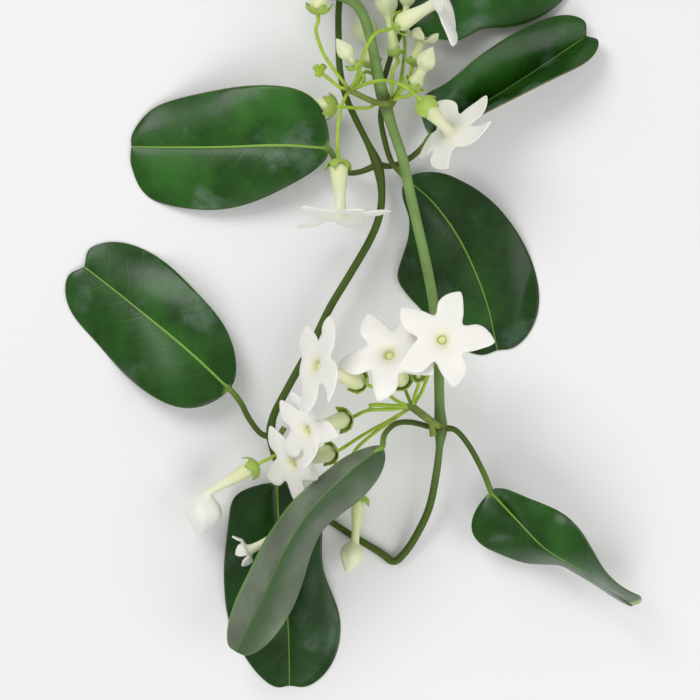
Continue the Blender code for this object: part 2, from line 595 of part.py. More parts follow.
def back_bunch(collection):
    """The small bunch at the back, at the knot of the second pair of leaves."""
    rods = [
        ([(-36, -60.5, 14), (-34, -62, 16), BACK_HEART, (-31.5, -65, 16)], PEDUNCLE * 0.8, 1),
        ([(-34, -62, 16), (-33, -59, 16.5), (-31, -55.5, 17)], PEDUNCLE * 0.7, 1),
        pedicel(BACK_HEART, [(-34.5, -67.5, 18), (-38, -69.5, 20)], *CREAM_BUD),
        pedicel(BACK_HEART, [(-27.5, -71, 15), (-23, -81, 15), (-21, -91.5, 18)], *HIDDEN_FLOWER),
    ]
    calyxes = [(*CREAM_BUD, 0.95, 0), (*HIDDEN_FLOWER, 0.85, 0)]
    stalks("stalks_back", rods, calyxes, collection)
    bud("bud_cream", *CREAM_BUD, collection, swell=8.8, tube_width=0.95, colour="petal")
    corolla("flower_hidden", *HIDDEN_FLOWER, collection, turn=174, size=0.55, bends=(45, 82, 82, 82, 82))


def main():
    """Clear the scene and build the spray."""
    for thing in list(bpy.data.objects):
        bpy.data.objects.remove(thing)
    collection = bpy.data.collections.new(COLLECTION)
    bpy.context.scene.collection.children.link(collection)
    vine = stem("vine", 0.0, collection)
    finish(vine, "stem", 0.5)
    leaves(collection)
    upper_bunch(collection)
    lower_bunch(collection)
    back_bunch(collection)


main()
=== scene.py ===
"""A cut spray of Madagascar jasmine, dressed over its CAD frame, on a pale table.

The table is the plane z = 0.  Lengths in the tables of places below are in millimetres.
"""

import math

import bmesh
import bpy
from bpy.props import FloatProperty, FloatVectorProperty, IntProperty, PointerProperty
from mathutils import Matrix, Vector, kdtree


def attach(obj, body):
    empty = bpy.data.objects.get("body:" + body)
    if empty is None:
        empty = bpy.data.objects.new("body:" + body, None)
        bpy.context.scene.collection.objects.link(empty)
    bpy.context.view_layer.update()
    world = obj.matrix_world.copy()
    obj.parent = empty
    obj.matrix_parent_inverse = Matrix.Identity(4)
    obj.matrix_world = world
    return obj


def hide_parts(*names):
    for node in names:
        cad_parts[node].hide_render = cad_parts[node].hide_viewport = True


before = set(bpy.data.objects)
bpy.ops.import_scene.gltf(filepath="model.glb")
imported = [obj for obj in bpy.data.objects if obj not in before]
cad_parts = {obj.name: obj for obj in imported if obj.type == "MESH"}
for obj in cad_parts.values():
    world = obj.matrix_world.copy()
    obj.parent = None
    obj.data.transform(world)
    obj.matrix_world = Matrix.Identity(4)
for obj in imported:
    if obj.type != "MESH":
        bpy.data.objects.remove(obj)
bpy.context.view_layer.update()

bl_info = {
    "name": "Madagascar jasmine spray",
    "version": (1, 0, 0),
    "blender": (4, 5, 0),
    "location": "View3D > Sidebar > Jasmine",
    "description": "Builds the stem, leaves, flowers, buds and stalks of a cut spray",
    "category": "Add Mesh",
}

MM = 0.001
ROOT = "root"
LOBES = 5

# Counts, finer than the CAD frame's: steps between two points of a route, and how round a rod is.
STEM_STEPS = 5
STEM_ROUND = 6
STALK_STEPS = 6
STALK_ROUND = 3
PETIOLE_ROUND = 4
LOBE_ROWS = 8
EDGES_PER_LOBE = 4
CALYX_SIDES = 20
BUD_SIDES = 30
HEART_SIDES = 20

# Vertices nearer to each other than this become one. The first two are in metres, the others in
# millimetres.
WELD_ROD = 0.000005
WELD_BLADE = 0.00002
WELD_SHEET = 0.0001
WELD_TIP = 0.01

# Sizes in millimetres and shares, most of them the CAD frame's own.
STEM_THICK = 2.35
STEM_MIDDLE = 1.75
STEM_THIN = 1.5
STEM_KNOT = 0.7
PETIOLE = 1.3
PETIOLE_FOOT = 1.25
PETIOLE_SINK = 7.0
PETIOLE_DROP = 0.2
PETIOLE_DIP = 0.5
PETIOLE_TAPER = 0.55
PEDUNCLE = 1.8
PEDICEL = 0.8
STALK_END = 1.12
STALK_STRAIGHT = 3.0
STALK_INSIDE = 0.1
YOUNG_BUD = 1.4
BLADE_BLUNTNESS = 2.12
TIP_NOTCH = 0.018
NOTCH_SPREAD = 0.16
TUBE_FOOT = 3.8
TUBE_NECK = 2.1
MOUTH = 4.6
LOBE_BOW = 5.5
LOBE_SKEW = -2.0
COROLLA_LIFT = 1.2
SHOULDER = COROLLA_LIFT + 2.2
FLAT = (0, 0, 0, 0, 0)
CALYX_CUP = 4.9
CALYX_HEIGHT = 2.0

# Sepals: how far out and how high their tips lie, half their width, and rows of (way out, share of
# that width).
SEPAL_TIP = 6.4
SEPAL_HEIGHT = 3.0
SEPAL_HALF_WIDTH = 2.9
SEPAL_ROWS = ((0.15, 0.86), (0.4, 0.62), (0.65, 0.38), (0.85, 0.18), (1.0, 0.04))

# Lobes: their outline, how far they droop and arch, how much they are dished, and what the attribute
# named reach, which is 1 near the mouth of the tube, is at their foot and gains along them.
LOBE_SQUARENESS = 2.5
LOBE_BLUNTNESS = 0.74
LOBE_BELLY = 0.08
LOBE_POINT = 0.04
LOBE_DROOP = 0.9
LOBE_ARCH = 0.3
LOBE_DISH = 0.5
LOBE_REACH = 1.12
LOBE_REACH_GAIN = 0.88

# A bud's head as (way up, share of its full radius), and the ridges that twist along it.
BUD_HEAD = (
    (0.06, 0.38), (0.13, 0.58), (0.2, 0.76), (0.3, 0.93), (0.41, 1.0), (0.53, 0.93), (0.64, 0.77),
    (0.75, 0.57), (0.85, 0.37), (0.93, 0.19), (0.98, 0.08), (1.0, 0.0),
)
RIDGE = 0.10
RIDGE_TWIST = 0.9

# The flower that is still green because it has only begun to open.
GREEN_FLOWER = "flower_half_open"

# The crown down in an open flower's throat: how far below the mouth its rings lie, and their radii.
HEART = ((4.4, 1.3), (3.9, 1.95), (3.2, 1.98), (2.6, 1.6), (2.25, 0.85), (2.2, 0.0))

# Veins: how far the side veins lean towards the tip, how they curve, and the relief of a blade.
VEIN_SLANT = 0.62
VEIN_CURVE = 1.25
GROOVE_WIDTH = 1.3
QUILT = 0.01

# The leaf whose tip curls over and shows its pale underside, how far along the curl starts, and how
# fast its colour comes in.
CURLED_LEAF = "leaf_lower_right"
CURL_START = 0.93
CURL_SPEED = 30

# How far along the stem its young green end goes, how slowly it fades, and how fast a knot does.
YOUNG_END = 0.42
YOUNG_FADE = 0.12
KNOT_FADE = 90

# A leaf's materials after that of its face, by their slots.
UNDER_SLOT = 1
RIM_SLOT = 2
PETIOLE_SLOT = 3

# Tints beside the colours in the sidebar.
BARK_FLECK = (0.20, 0.25, 0.10)
# Painted reflection: the whitish sheen painted in patches on the upper faces of the leaves.
PAINTED_SHEEN = (0.115, 0.185, 0.125)
# Painted shade: the darker green painted over one half of the underside, darkest beside the midrib.
PAINTED_CREASE_SHADE = (0.045, 0.098, 0.034)
UNDER_RIM = (0.13, 0.27, 0.055)
MARGIN = (0.11, 0.15, 0.045)
CURL = (0.30, 0.44, 0.13)
EDGE_GREEN = (0.05, 0.10, 0.02)
EDGE_BROWN = (0.14, 0.11, 0.045)
STALK_BROWN = (0.13, 0.17, 0.045)
SEPAL_GREEN = (0.10, 0.26, 0.02)

# The sockets of Blender's colour mixing node.
MIX_SHARE = 0
MIX_FIRST = 6
MIX_SECOND = 7
MIX_RESULT = 2

# The stage, in metres: half the table, where the camera looks straight down, and how near it sees.
TABLE_HALF = 3.0
CAMERA_OVER = (-0.00135, -0.0205)
CAMERA_NEAR = 0.05
SENSOR_MM = 36.0
WORLD_STRENGTH = 0.45

# Each lamp: its name, the value in the sidebar that gives its power, its width and its place.
LAMPS = (
    ("key_light", "key", 0.7, (-0.55, 0.65, 0.95)),
    ("fill_light", "fill", 0.9, (0.9, -0.3, 0.9)),
    ("back_light", "fill", 0.8, (0.1, -0.95, 0.8)),
)

# How light each blade's green is beside the others.
TONES = {
    "leaf_upper_left": 1.18, "leaf_left": 1.05, "leaf_upper_right": 1.0, "leaf_top": 1.15,
    "leaf_middle_right": 0.72, "leaf_lower_right": 1.05, "leaf_front": 1.06, "leaf_bottom": 0.8,
}


class JasmineStem(bpy.types.PropertyGroup):
    """The twining stem and the leaf stalks."""

    fresh: FloatVectorProperty(
        name="Thick end", description="Colour of the thick, waxy end of the stem",
        default=(0.200, 0.330, 0.100), min=0, max=1, subtype="COLOR")
    green: FloatVectorProperty(
        name="Green part", description="Colour of the middle of the stem",
        default=(0.056, 0.112, 0.009), min=0, max=1, subtype="COLOR")
    woody: FloatVectorProperty(
        name="Knots", description="Colour of knots and leaf stalks that turn to wood",
        default=(0.075, 0.085, 0.018), min=0, max=1, subtype="COLOR")


class JasmineLeaf(bpy.types.PropertyGroup):
    """The leaf blades."""

    thickness: FloatProperty(
        name="Thickness", description="Thickness of the leathery blade",
        default=0.0007, min=0.0003, max=0.002, unit="LENGTH")
    rows: IntProperty(
        name="Rows", description="Rows of faces along a blade", default=64, min=12, max=120)
    columns: IntProperty(
        name="Columns", description="Columns of faces on each half of a blade", default=18, min=4, max=40)
    groove: FloatProperty(
        name="Midrib groove", description="Depth of the channel over the midrib, in millimetres",
        default=0.35, min=0, max=1)
    veins: IntProperty(
        name="Side veins", description="Side veins on each half of a blade", default=9, min=3, max=20)
    upper: FloatVectorProperty(
        name="Upper face", description="Colour of the upper face",
        default=(0.014, 0.080, 0.004), min=0, max=1, subtype="COLOR")
    under: FloatVectorProperty(
        name="Underside", description="Colour of the underside",
        default=(0.150, 0.195, 0.125), min=0, max=1, subtype="COLOR")
    midrib: FloatVectorProperty(
        name="Midrib", description="Colour of the midrib and the leaf's foot",
        default=(0.230, 0.390, 0.060), min=0, max=1, subtype="COLOR")


class JasmineFlower(bpy.types.PropertyGroup):
    """The open flowers and the buds."""

    petal: FloatProperty(
        name="Petal thickness", description="Thickness of the waxy petal",
        default=0.0008, min=0.0004, max=0.002, unit="LENGTH")
    reach: FloatProperty(
        name="Reach", description="From a flower's axis to the tip of a lobe",
        default=0.023, min=0.01, max=0.04, unit="LENGTH")
    sinus: FloatProperty(
        name="Sinus", description="From a flower's axis to the notch between two lobes",
        default=0.0103, min=0.004, max=0.02, unit="LENGTH")
    half_width: FloatProperty(
        name="Lobe half width", description="Half the width of a lobe",
        default=0.0057, min=0.002, max=0.01, unit="LENGTH")
    white: FloatVectorProperty(
        name="Petal", description="Colour of the waxy white lobes",
        default=(0.93, 0.915, 0.855), min=0, max=1, subtype="COLOR")
    throat: FloatVectorProperty(
        name="Throat", description="Colour down in the throat",
        default=(0.76, 0.79, 0.36), min=0, max=1, subtype="COLOR")
    tube: FloatVectorProperty(
        name="Tube foot", description="Colour of the foot of the tube",
        default=(0.78, 0.84, 0.50), min=0, max=1, subtype="COLOR")
    young: FloatVectorProperty(
        name="Young bud", description="Colour of the young, closed buds",
        default=(0.69, 0.76, 0.38), min=0, max=1, subtype="COLOR")


class JasmineStalk(bpy.types.PropertyGroup):
    """The flower stalks and the calyxes."""

    sepal: FloatProperty(
        name="Sepal thickness", description="Thickness of a sepal",
        default=0.0006, min=0.0003, max=0.002, unit="LENGTH")
    lime: FloatVectorProperty(
        name="Stalk", description="Colour of the thin flower stalks",
        default=(0.420, 0.620, 0.060), min=0, max=1, subtype="COLOR")
    cup: FloatVectorProperty(
        name="Calyx", description="Colour of the calyxes",
        default=(0.340, 0.480, 0.085), min=0, max=1, subtype="COLOR")


class JasmineStage(bpy.types.PropertyGroup):
    """The table, lights and camera."""

    floor: FloatVectorProperty(
        name="Table", description="Colour of the table", default=(0.88, 0.88, 0.88),
        min=0, max=1, subtype="COLOR")
    height: FloatProperty(
        name="Camera height", description="Height of the camera over the table",
        default=1.201, min=0.3, max=5, unit="LENGTH")
    lens: FloatProperty(
        name="Lens", description="Focal length of the camera, in millimetres",
        default=135.0, min=20, max=300)
    key: FloatProperty(
        name="Key light", description="Power of the large soft light", default=6.5, min=0, unit="POWER")
    fill: FloatProperty(
        name="Fill light", description="Power of the fill light", default=4.0, min=0, unit="POWER")


class JasmineSettings(bpy.types.PropertyGroup):
    """Everything that a user would change."""

    stem: PointerProperty(type=JasmineStem, name="Stem", description="The stem")
    leaf: PointerProperty(type=JasmineLeaf, name="Leaves", description="The leaves")
    flower: PointerProperty(type=JasmineFlower, name="Flowers", description="The flowers and buds")
    stalk: PointerProperty(type=JasmineStalk, name="Stalks", description="The stalks and calyxes")
    stage: PointerProperty(type=JasmineStage, name="Stage", description="The table and lights")


def settings():
    """The values in the sidebar."""
    return bpy.context.scene.jasmine


def shade(colour, factor, lift=0.0):
    """A lighter or darker colour."""
    return tuple(min(1.0, factor * part + lift) for part in colour)


class Nodes:
    """A short way to lay out one material's nodes."""

    def __init__(self, name, roughness=0.5, **sockets):
        self.material = bpy.data.materials.new(name)
        self.material.use_nodes = True
        self.tree = self.material.node_tree
        self.shader = self.tree.nodes["Principled BSDF"]
        self.place = self.tree.nodes.new("ShaderNodeTexCoord").outputs["Object"]
        self.shader.inputs["Roughness"].default_value = roughness
        for socket, value in sockets.items():
            self.shader.inputs[socket.replace("_", " ")].default_value = value

    def node(self, kind, inputs=(), **values):
        """Add a node, with its values set and its sockets fed."""
        made = self.tree.nodes.new(kind)
        for key, value in values.items():
            setattr(made, key, value)
        for socket, value in dict(inputs).items():
            self.feed(made.inputs[socket], value)
        return made

    def feed(self, socket, value):
        """Link an output to a socket, or set it."""
        if isinstance(value, bpy.types.NodeSocket):
            self.tree.links.new(value, socket)
        elif hasattr(value, "__len__") and len(value) == 3 and socket.type == "RGBA":
            socket.default_value = (*value, 1.0)
        else:
            socket.default_value = value

    def math(self, operation, *values, clamp=False):
        made = self.node("ShaderNodeMath", operation=operation, use_clamp=clamp)
        for k, value in enumerate(values):
            self.feed(made.inputs[k], value)
        return made.outputs[0]

    def plus(self, first, second):
        return self.math("ADD", first, second)

    def minus(self, first, second):
        return self.math("SUBTRACT", first, second)

    def times(self, first, second):
        return self.math("MULTIPLY", first, second)

    def smooth(self, value, low, high, start=0.0, end=1.0):
        """Run smoothly from start to end as a value runs from low to high."""
        made = self.node("ShaderNodeMapRange", interpolation_type="SMOOTHSTEP")
        for k, entry in enumerate((value, low, high, start, end)):
            self.feed(made.inputs[k], entry)
        return made.outputs[0]

    def mix(self, share, first, second, blend="MIX"):
        made = self.node("ShaderNodeMix", data_type="RGBA", blend_type=blend)
        self.feed(made.inputs[MIX_SHARE], share)
        self.feed(made.inputs[MIX_FIRST], first)
        self.feed(made.inputs[MIX_SECOND], second)
        return made.outputs[MIX_RESULT]

    def noise(self, scale, detail=3.0, roughness=0.5):
        """Clouds in the object's own space."""
        inputs = {"Vector": self.place, "Scale": scale, "Detail": detail, "Roughness": roughness}
        return self.node("ShaderNodeTexNoise", inputs).outputs[0]

    def attribute(self, name):
        return self.node("ShaderNodeAttribute", attribute_name=name).outputs["Fac"]

    def bump(self, height, strength, distance):
        made = self.node("ShaderNodeBump", {"Strength": strength, "Distance": distance, "Height": height})
        self.feed(self.shader.inputs["Normal"], made.outputs[0])

    def paint(self, colour):
        self.feed(self.shader.inputs["Base Color"], colour)
        return self.material


def stem_material():
    """Waxy pale green at the thick end, olive further on, brown flecks at the knots."""
    s = settings().stem
    n = Nodes("stem_bark", 0.5, Specular_IOR_Level=0.25)
    fleck = n.noise(900, 4, 0.6)
    cloud = n.noise(90)
    colour = n.mix(n.attribute("young"), s.green, s.fresh)
    colour = n.mix(n.smooth(cloud, 0.35, 0.75, 0.0, 0.45), colour, s.woody)
    colour = n.mix(n.times(n.attribute("knot"), n.smooth(fleck, 0.3, 0.6)), colour, s.woody)
    colour = n.mix(n.smooth(fleck, 0.62, 0.72, 0.0, 0.35), colour, BARK_FLECK)
    n.bump(n.plus(fleck, cloud), 0.35, 0.0003)
    return n.paint(colour)


def petiole_material():
    """Olive brown leaf stalk, greener where it meets the blade."""
    s = settings().stem
    n = Nodes("leaf_stalk_skin", 0.5, Specular_IOR_Level=0.25)
    cloud = n.noise(160, 3, 0.6)
    colour = n.mix(n.smooth(cloud, 0.35, 0.65, 0.0, 0.7), s.green, s.woody)
    colour = n.mix(n.smooth(n.attribute("reach"), 0.35, 1.0), colour, settings().leaf.midrib)
    n.bump(cloud, 0.3, 0.0003)
    return n.paint(colour)


def side_veins(n, across, along_leaf):
    """How strongly a side vein shows at a place on a blade."""
    wander = n.times(n.minus(n.noise(60, 2), 0.5), 0.03)
    slant = n.times(n.math("POWER", across, VEIN_CURVE), -VEIN_SLANT)
    run = n.plus(n.plus(along_leaf, slant), wander)
    beat = n.math("FRACT", n.times(run, float(settings().leaf.veins)))
    vein = n.smooth(n.math("ABSOLUTE", n.minus(beat, 0.5)), 0.0, 0.085, 1.0, 0.0)
    vein = n.times(vein, n.smooth(across, 0.02, 0.42, 0.75, 0.05))
    return n.times(vein, n.smooth(along_leaf, 0.05, 0.2))


def with_painted_sheen(n, colour):
    """Scattered whitish patches of painted reflection, a painted sheen, on the upper face."""
    painted_sheen_mask = n.smooth(n.noise(38), 0.55, 0.68, 0.0, 0.5)
    painted_sheen_mask = n.times(painted_sheen_mask, n.smooth(n.noise(230, 4, 0.65), 0.35, 0.6, 0.3, 1.0))
    return n.mix(painted_sheen_mask, colour, PAINTED_SHEEN)


def with_painted_crease_shade(n, colour, sideways, margin):
    """The underside's painted shade, darkest beside the midrib on one half, and a green rim along the
    margin of the other half.
    """
    crease_shade_mask = n.times(n.smooth(sideways, 0.16, 0.47), n.smooth(sideways, 0.495, 0.515, 1.0, 0.0))
    colour = n.mix(crease_shade_mask, colour, PAINTED_CREASE_SHADE)
    rim = n.times(n.smooth(margin, 0.84, 0.93, 0.0, 0.85), n.smooth(sideways, 0.5, 0.6))
    return n.mix(rim, colour, UNDER_RIM)


def leaf_material(name, upper):
    """A blade's face: midrib, side veins, gloss and painted sheen above, a duller green with painted shade
    beside the midrib below.
    """
    s = settings().leaf
    gloss = {"Coat_Weight": 0.12, "Coat_Roughness": 0.16} if upper else {}
    n = Nodes(name, Specular_IOR_Level=0.3, **gloss)
    sheet = n.node("ShaderNodeSeparateXYZ", {0: n.node("ShaderNodeUVMap", uv_map="blade").outputs[0]})
    sideways = sheet.outputs[0]
    along_leaf = sheet.outputs[1]
    across = n.math("ABSOLUTE", n.minus(sideways, 0.5))
    margin = n.attribute("margin")
    vein = side_veins(n, across, along_leaf)
    cloud = n.noise(55, 4, 0.6)
    grain = n.noise(1500, 3, 0.55)
    rib_width = n.smooth(along_leaf, 0.0, 1.0, 0.015, 0.005)
    rib = n.math("SUBTRACT", 1.0, n.math("DIVIDE", across, rib_width), clamp=True)
    rib = n.smooth(rib, 0.0, 0.45)
    base = s.upper if upper else s.under
    colour = n.mix(n.smooth(cloud, 0.35, 0.7), shade(base, 0.62), base)
    colour = n.mix(n.smooth(n.noise(28, 2), 0.5, 0.75, 0.0, 0.55), colour, shade(base, 1.7, 0.004))
    colour = n.mix(n.times(vein, 0.05 if upper else 0.08), colour, s.midrib)
    colour = with_painted_sheen(n, colour) if upper else with_painted_crease_shade(n, colour, sideways, margin)
    colour = n.mix(n.times(rib, 0.9 if upper else 0.30), colour, s.midrib)
    foot = n.smooth(n.plus(along_leaf, n.times(across, 0.5)), 0.0, 0.05, 0.85, 0.0)
    colour = n.mix(foot, colour, s.midrib)
    colour = n.mix(n.smooth(margin, 0.965, 1.0, 0.0, 0.65), colour, MARGIN)
    colour = n.mix(1.0, colour, n.attribute("tone"), "MULTIPLY")
    colour = n.mix(n.attribute("curl"), colour, CURL)
    rough = n.smooth(cloud, 0.3, 0.7, 0.24 if upper else 0.42, 0.42 if upper else 0.6)
    n.feed(n.shader.inputs["Roughness"], rough)
    height = n.plus(n.plus(n.times(vein, -0.12), n.times(cloud, 0.6)), n.times(grain, 0.12))
    n.bump(height, 0.4, 0.0008)
    return n.paint(colour)


def edge_material():
    """The thin brownish rim of a blade."""
    n = Nodes("blade_rim", 0.5)
    return n.paint(n.mix(n.noise(120), EDGE_GREEN, EDGE_BROWN))


def petal_material(name, young=False):
    """Waxy petals: white lobes, greenish throat and foot, and fine veins. Young ones are pale green."""
    s = settings().flower
    n = Nodes(name, 0.42, Specular_IOR_Level=0.45, Sheen_Weight=0.08)
    reach = n.attribute("reach")
    streak = n.noise(260, 3, 0.6)
    cloud = n.noise(70, 2)
    white = n.mix(n.smooth(cloud, 0.35, 0.7), shade(s.white, 0.94), s.white)
    foot = n.times(n.smooth(reach, 0.12, 0.85, 0.95, 0.0), n.smooth(streak, 0.2, 0.6, 0.75, 1.0))
    colour = n.mix(foot, white, s.tube)
    colour = n.mix(n.smooth(reach, 0.93, 1.09, 0.5, 0.0), colour, s.throat)
    if young:
        colour = n.mix(n.smooth(reach, 0.1, 2.0, 1.0, 0.65), colour, s.young)
    n.bump(n.plus(n.times(streak, 0.3), cloud), 0.25, 0.0006)
    return n.paint(colour)


def throat_material():
    """Yellow green down in the throat."""
    s = settings().flower
    n = Nodes("throat_wax", 0.5)
    colour = n.mix(n.smooth(n.attribute("reach"), 0.90, 1.06), s.throat, s.white)
    colour = n.mix(n.smooth(n.noise(400, 3, 0.6), 0.4, 0.7, 0.0, 0.15), colour, s.tube)
    return n.paint(colour)


def stalk_material():
    """Lime green flower stalks, browner near the stem."""
    s = settings().stalk
    n = Nodes("flower_stalk_skin", 0.5, Specular_IOR_Level=0.2)
    cloud = n.noise(130, 3, 0.6)
    colour = n.mix(n.smooth(cloud, 0.3, 0.7), shade(s.lime, 0.72), s.lime)
    brown = n.times(n.attribute("thick"), n.smooth(cloud, 0.3, 0.6, 0.5, 0.95))
    n.bump(cloud, 0.3, 0.0003)
    return n.paint(n.mix(brown, colour, STALK_BROWN))


def calyx_material():
    """Green cup, darker towards the tips of the sepals."""
    s = settings().stalk
    n = Nodes("calyx_skin", 0.48, Specular_IOR_Level=0.3)
    cloud = n.noise(220, 3, 0.6)
    colour = n.mix(n.smooth(cloud, 0.3, 0.7), s.cup, shade(s.cup, 1.15, 0.01))
    colour = n.mix(n.smooth(n.attribute("reach"), 0.75, 1.0, 0.0, 0.6), colour, SEPAL_GREEN)
    n.bump(cloud, 0.3, 0.0004)
    return n.paint(colour)


FINISHES = {}


def finish_of(name):
    """Make each material once."""
    makers = {
        "stem": stem_material, "petiole": petiole_material, "edge": edge_material,
        "leaf": lambda: leaf_material("blade_upper", upper=True),
        "leaf_back": lambda: leaf_material("blade_under", upper=False),
        "petal": lambda: petal_material("petal_wax"),
        "bud": lambda: petal_material("young_bud_wax", young=True),
        "throat": throat_material, "stalk": stalk_material, "calyx": calyx_material,
    }
    if name not in FINISHES:
        FINISHES[name] = makers[name]()
    return FINISHES[name]


def bake(thing):
    """Put an object's evaluated shape into its own mesh, and drop its modifiers."""
    graph = bpy.context.evaluated_depsgraph_get()
    mesh = bpy.data.meshes.new_from_object(thing.evaluated_get(graph))
    thing.modifiers.clear()
    thing.data = mesh


def shown(name, data):
    """A new object in the scene."""
    made = bpy.data.objects.new(name, data)
    bpy.context.scene.collection.objects.link(made)
    return made


def mesh_object(name, bm, finishes):
    """Turn an edit mesh into an object with its materials."""
    mesh = bpy.data.meshes.new(name)
    bm.to_mesh(mesh)
    bm.free()
    for finish in finishes:
        mesh.materials.append(finish_of(finish))
    return shown(name, mesh)


def opened(mesh):
    """An edit mesh with a mesh's shape."""
    bm = bmesh.new()
    bm.from_mesh(mesh)
    return bm


def knit(bm, distance):
    """Merge the vertices that lie together, and turn all faces outwards."""
    bmesh.ops.remove_doubles(bm, verts=bm.verts, dist=distance)
    bmesh.ops.recalc_face_normals(bm, faces=bm.faces)


def wall(thing, thickness, rim=0, inside=0):
    """Give an open sheet its thickness, half to each side."""
    step = thing.modifiers.new("wall", "SOLIDIFY")
    step.thickness = thickness
    step.offset = 0.0
    step.material_offset = inside
    step.material_offset_rim = rim
    bake(thing)


def soften(thing):
    """Round a mesh with subdivision."""
    step = thing.modifiers.new("soften", "SUBSURF")
    step.levels = 1
    step.render_levels = 1
    bake(thing)


def hand_over(thing, node):
    """Shade a piece smooth, ride it on the root and let it stand for its CAD node."""
    thing.data.shade_smooth()
    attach(thing, ROOT)
    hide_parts(node)


def stretched(points):
    """A list of points with one more at each end, as a smooth curve through them needs."""
    return [2 * points[0] - points[1]] + points + [2 * points[-1] - points[-2]]


def curve_point(before, start, end, after, share):
    """A place on the smooth curve between start and end."""
    place = 2 * start + (end - before) * share
    place += (2 * before - 5 * start + 4 * end - after) * share ** 2
    place += (3 * start - before - 3 * end + after) * share ** 3
    return place / 2


def smooth_route(points, per_span):
    """Points along a smooth curve through the given ones, each with its radius as a fourth number."""
    row = stretched([Vector(point) for point in points])
    route = []
    for k in range(len(row) - 3):
        for step in range(per_span):
            route.append(curve_point(*row[k:k + 4], step / per_span))
    return route + [row[-2]]


def curve_place(points, share):
    """Place and direction on a smooth curve through all but the first and last of some points."""
    spans = len(points) - 3
    where = min(max(share, 0.0), 1.0) * spans
    k = min(int(where), spans - 1)
    t = where - k
    before, start, end, after = points[k:k + 4]
    way = (end - before) + 2 * (2 * before - 5 * start + 4 * end - after) * t
    way += 3 * (3 * start - before - 3 * end + after) * t ** 2
    return curve_point(before, start, end, after, t), way.normalized()


def tube(route, rounds, tints):
    """A round rod with closed ends along a route of (x, y, z, radius), as an edit mesh.

    tints maps an attribute's name to a function of how far along the rod a point lies, from 0 to 1.
    """
    curve = bpy.data.curves.new("rod", "CURVE")
    curve.dimensions = "3D"
    curve.bevel_depth = MM
    curve.bevel_resolution = rounds
    curve.use_fill_caps = True
    spline = curve.splines.new("POLY")
    spline.points.add(len(route) - 1)
    finder = kdtree.KDTree(len(route))
    for k, place in enumerate(route):
        spot = [value * MM for value in place[:3]]
        spline.points[k].co = (*spot, 1.0)
        spline.points[k].radius = place[3]
        finder.insert(spot, k)
    finder.balance()
    rod = shown("rod", curve)
    graph = bpy.context.evaluated_depsgraph_get()
    bm = opened(bpy.data.meshes.new_from_object(rod.evaluated_get(graph)))
    bpy.data.objects.remove(rod)
    knit(bm, WELD_ROD)
    for key, tint in tints.items():
        layer = bm.verts.layers.float.new(key)
        for vert in bm.verts:
            vert[layer] = tint(finder.find(vert.co)[1] / (len(route) - 1))
    return bm


def absorb(bm, other, slot=0):
    """Move another edit mesh's shell into this one, with its attributes."""
    layers = bm.verts.layers.float
    pairs = [(layer, layers.get(key) or layers.new(key)) for key, layer in other.verts.layers.float.items()]
    twin = {}
    for vert in other.verts:
        twin[vert] = bm.verts.new(vert.co)
        for theirs, mine in pairs:
            twin[vert][mine] = vert[theirs]
    for face in other.faces:
        made = bm.faces.new([twin[vert] for vert in face.verts])
        made.material_index = slot
    other.free()


def add_shell(thing, other, slot):
    """Add an edit mesh's shell to an object."""
    bm = opened(thing.data)
    absorb(bm, other, slot)
    bm.to_mesh(thing.data)
    bm.free()


def blade_sheet(name, ends, halves, wave, notch):
    """The middle sheet of a blade, bent along its midrib, as an edit mesh. See leaf for its numbers."""
    s = settings().leaf
    margins = [stretched([Vector(pair) for pair in zip(outs, lifts)]) for outs, lifts, _ in halves]
    height, waves, phase = wave
    power = 2 / BLADE_BLUNTNESS
    bm = bmesh.new()
    sheet = bm.loops.layers.uv.new("blade")
    margin_layer = bm.verts.layers.float.new("margin")
    curl_layer = bm.verts.layers.float.new("curl")
    tone_layer = bm.verts.layers.float.new("tone")
    bmesh.ops.create_grid(bm, x_segments=2 * s.columns, y_segments=s.rows, size=1.0)
    spots = {}
    ups = Vector()
    for vert in bm.verts:
        across = abs(vert.co.x)
        side = 1 if vert.co.x < 0 else -1
        half = 0 if side > 0 else 1
        bulge = halves[half][2]
        angle = math.pi * (vert.co.y + 1) / 2
        out = across * max(math.sin(angle), 0.0) ** power
        share = (1 - math.copysign(abs(math.cos(angle)) ** power, math.cos(angle))) / 2
        margin, _ = curve_place(margins[half], share)
        if share > 0.5:
            share -= notch * (2 * share - 1) * math.exp(-(out / NOTCH_SPREAD) ** 2)
        place, way = curve_place(ends, share)
        side_way = Vector((0, 0, 1)).cross(way).normalized()
        up = way.cross(side_way)
        ripple = height * out ** 2 * math.sin(2 * math.pi * (waves * share + phase) + side)
        vert.co = place + side * side_way * margin.x * out
        vert.co += up * (margin.y * out + 4 * bulge * out * (1 - across) + ripple)
        slope = math.atan2(margin.y + 4 * bulge * (1 - 2 * across), margin.x)
        face_way = up * math.cos(slope) - side * side_way * math.sin(slope)
        ups += face_way
        groove = -s.groove * math.exp(-(out * margin.length / GROOVE_WIDTH) ** 2) * (1 - share)
        beat = (share - VEIN_SLANT * (out / 2) ** VEIN_CURVE) * s.veins
        quilt = QUILT * math.cos(2 * math.pi * (beat - 0.5)) * math.sin(math.pi * min(out, 1.0))
        vert.co += face_way * (groove + quilt)
        vert.co.z = max(vert.co.z, s.thickness / MM / 2)
        vert.co *= MM
        vert[margin_layer] = across
        vert[tone_layer] = TONES[name]
        if name == CURLED_LEAF and side > 0:
            vert[curl_layer] = min(max((share - CURL_START) * CURL_SPEED, 0.0), 1.0)
        spots[vert] = (0.5 - side * out / 2, share)
    for face in bm.faces:
        for loop in face.loops:
            loop[sheet].uv = spots[loop.vert]
    knit(bm, WELD_BLADE)
    facing = sum((face.normal * face.calc_area() for face in bm.faces), Vector())
    if facing.dot(ups) < 0:
        bmesh.ops.reverse_faces(bm, faces=bm.faces)
    return bm


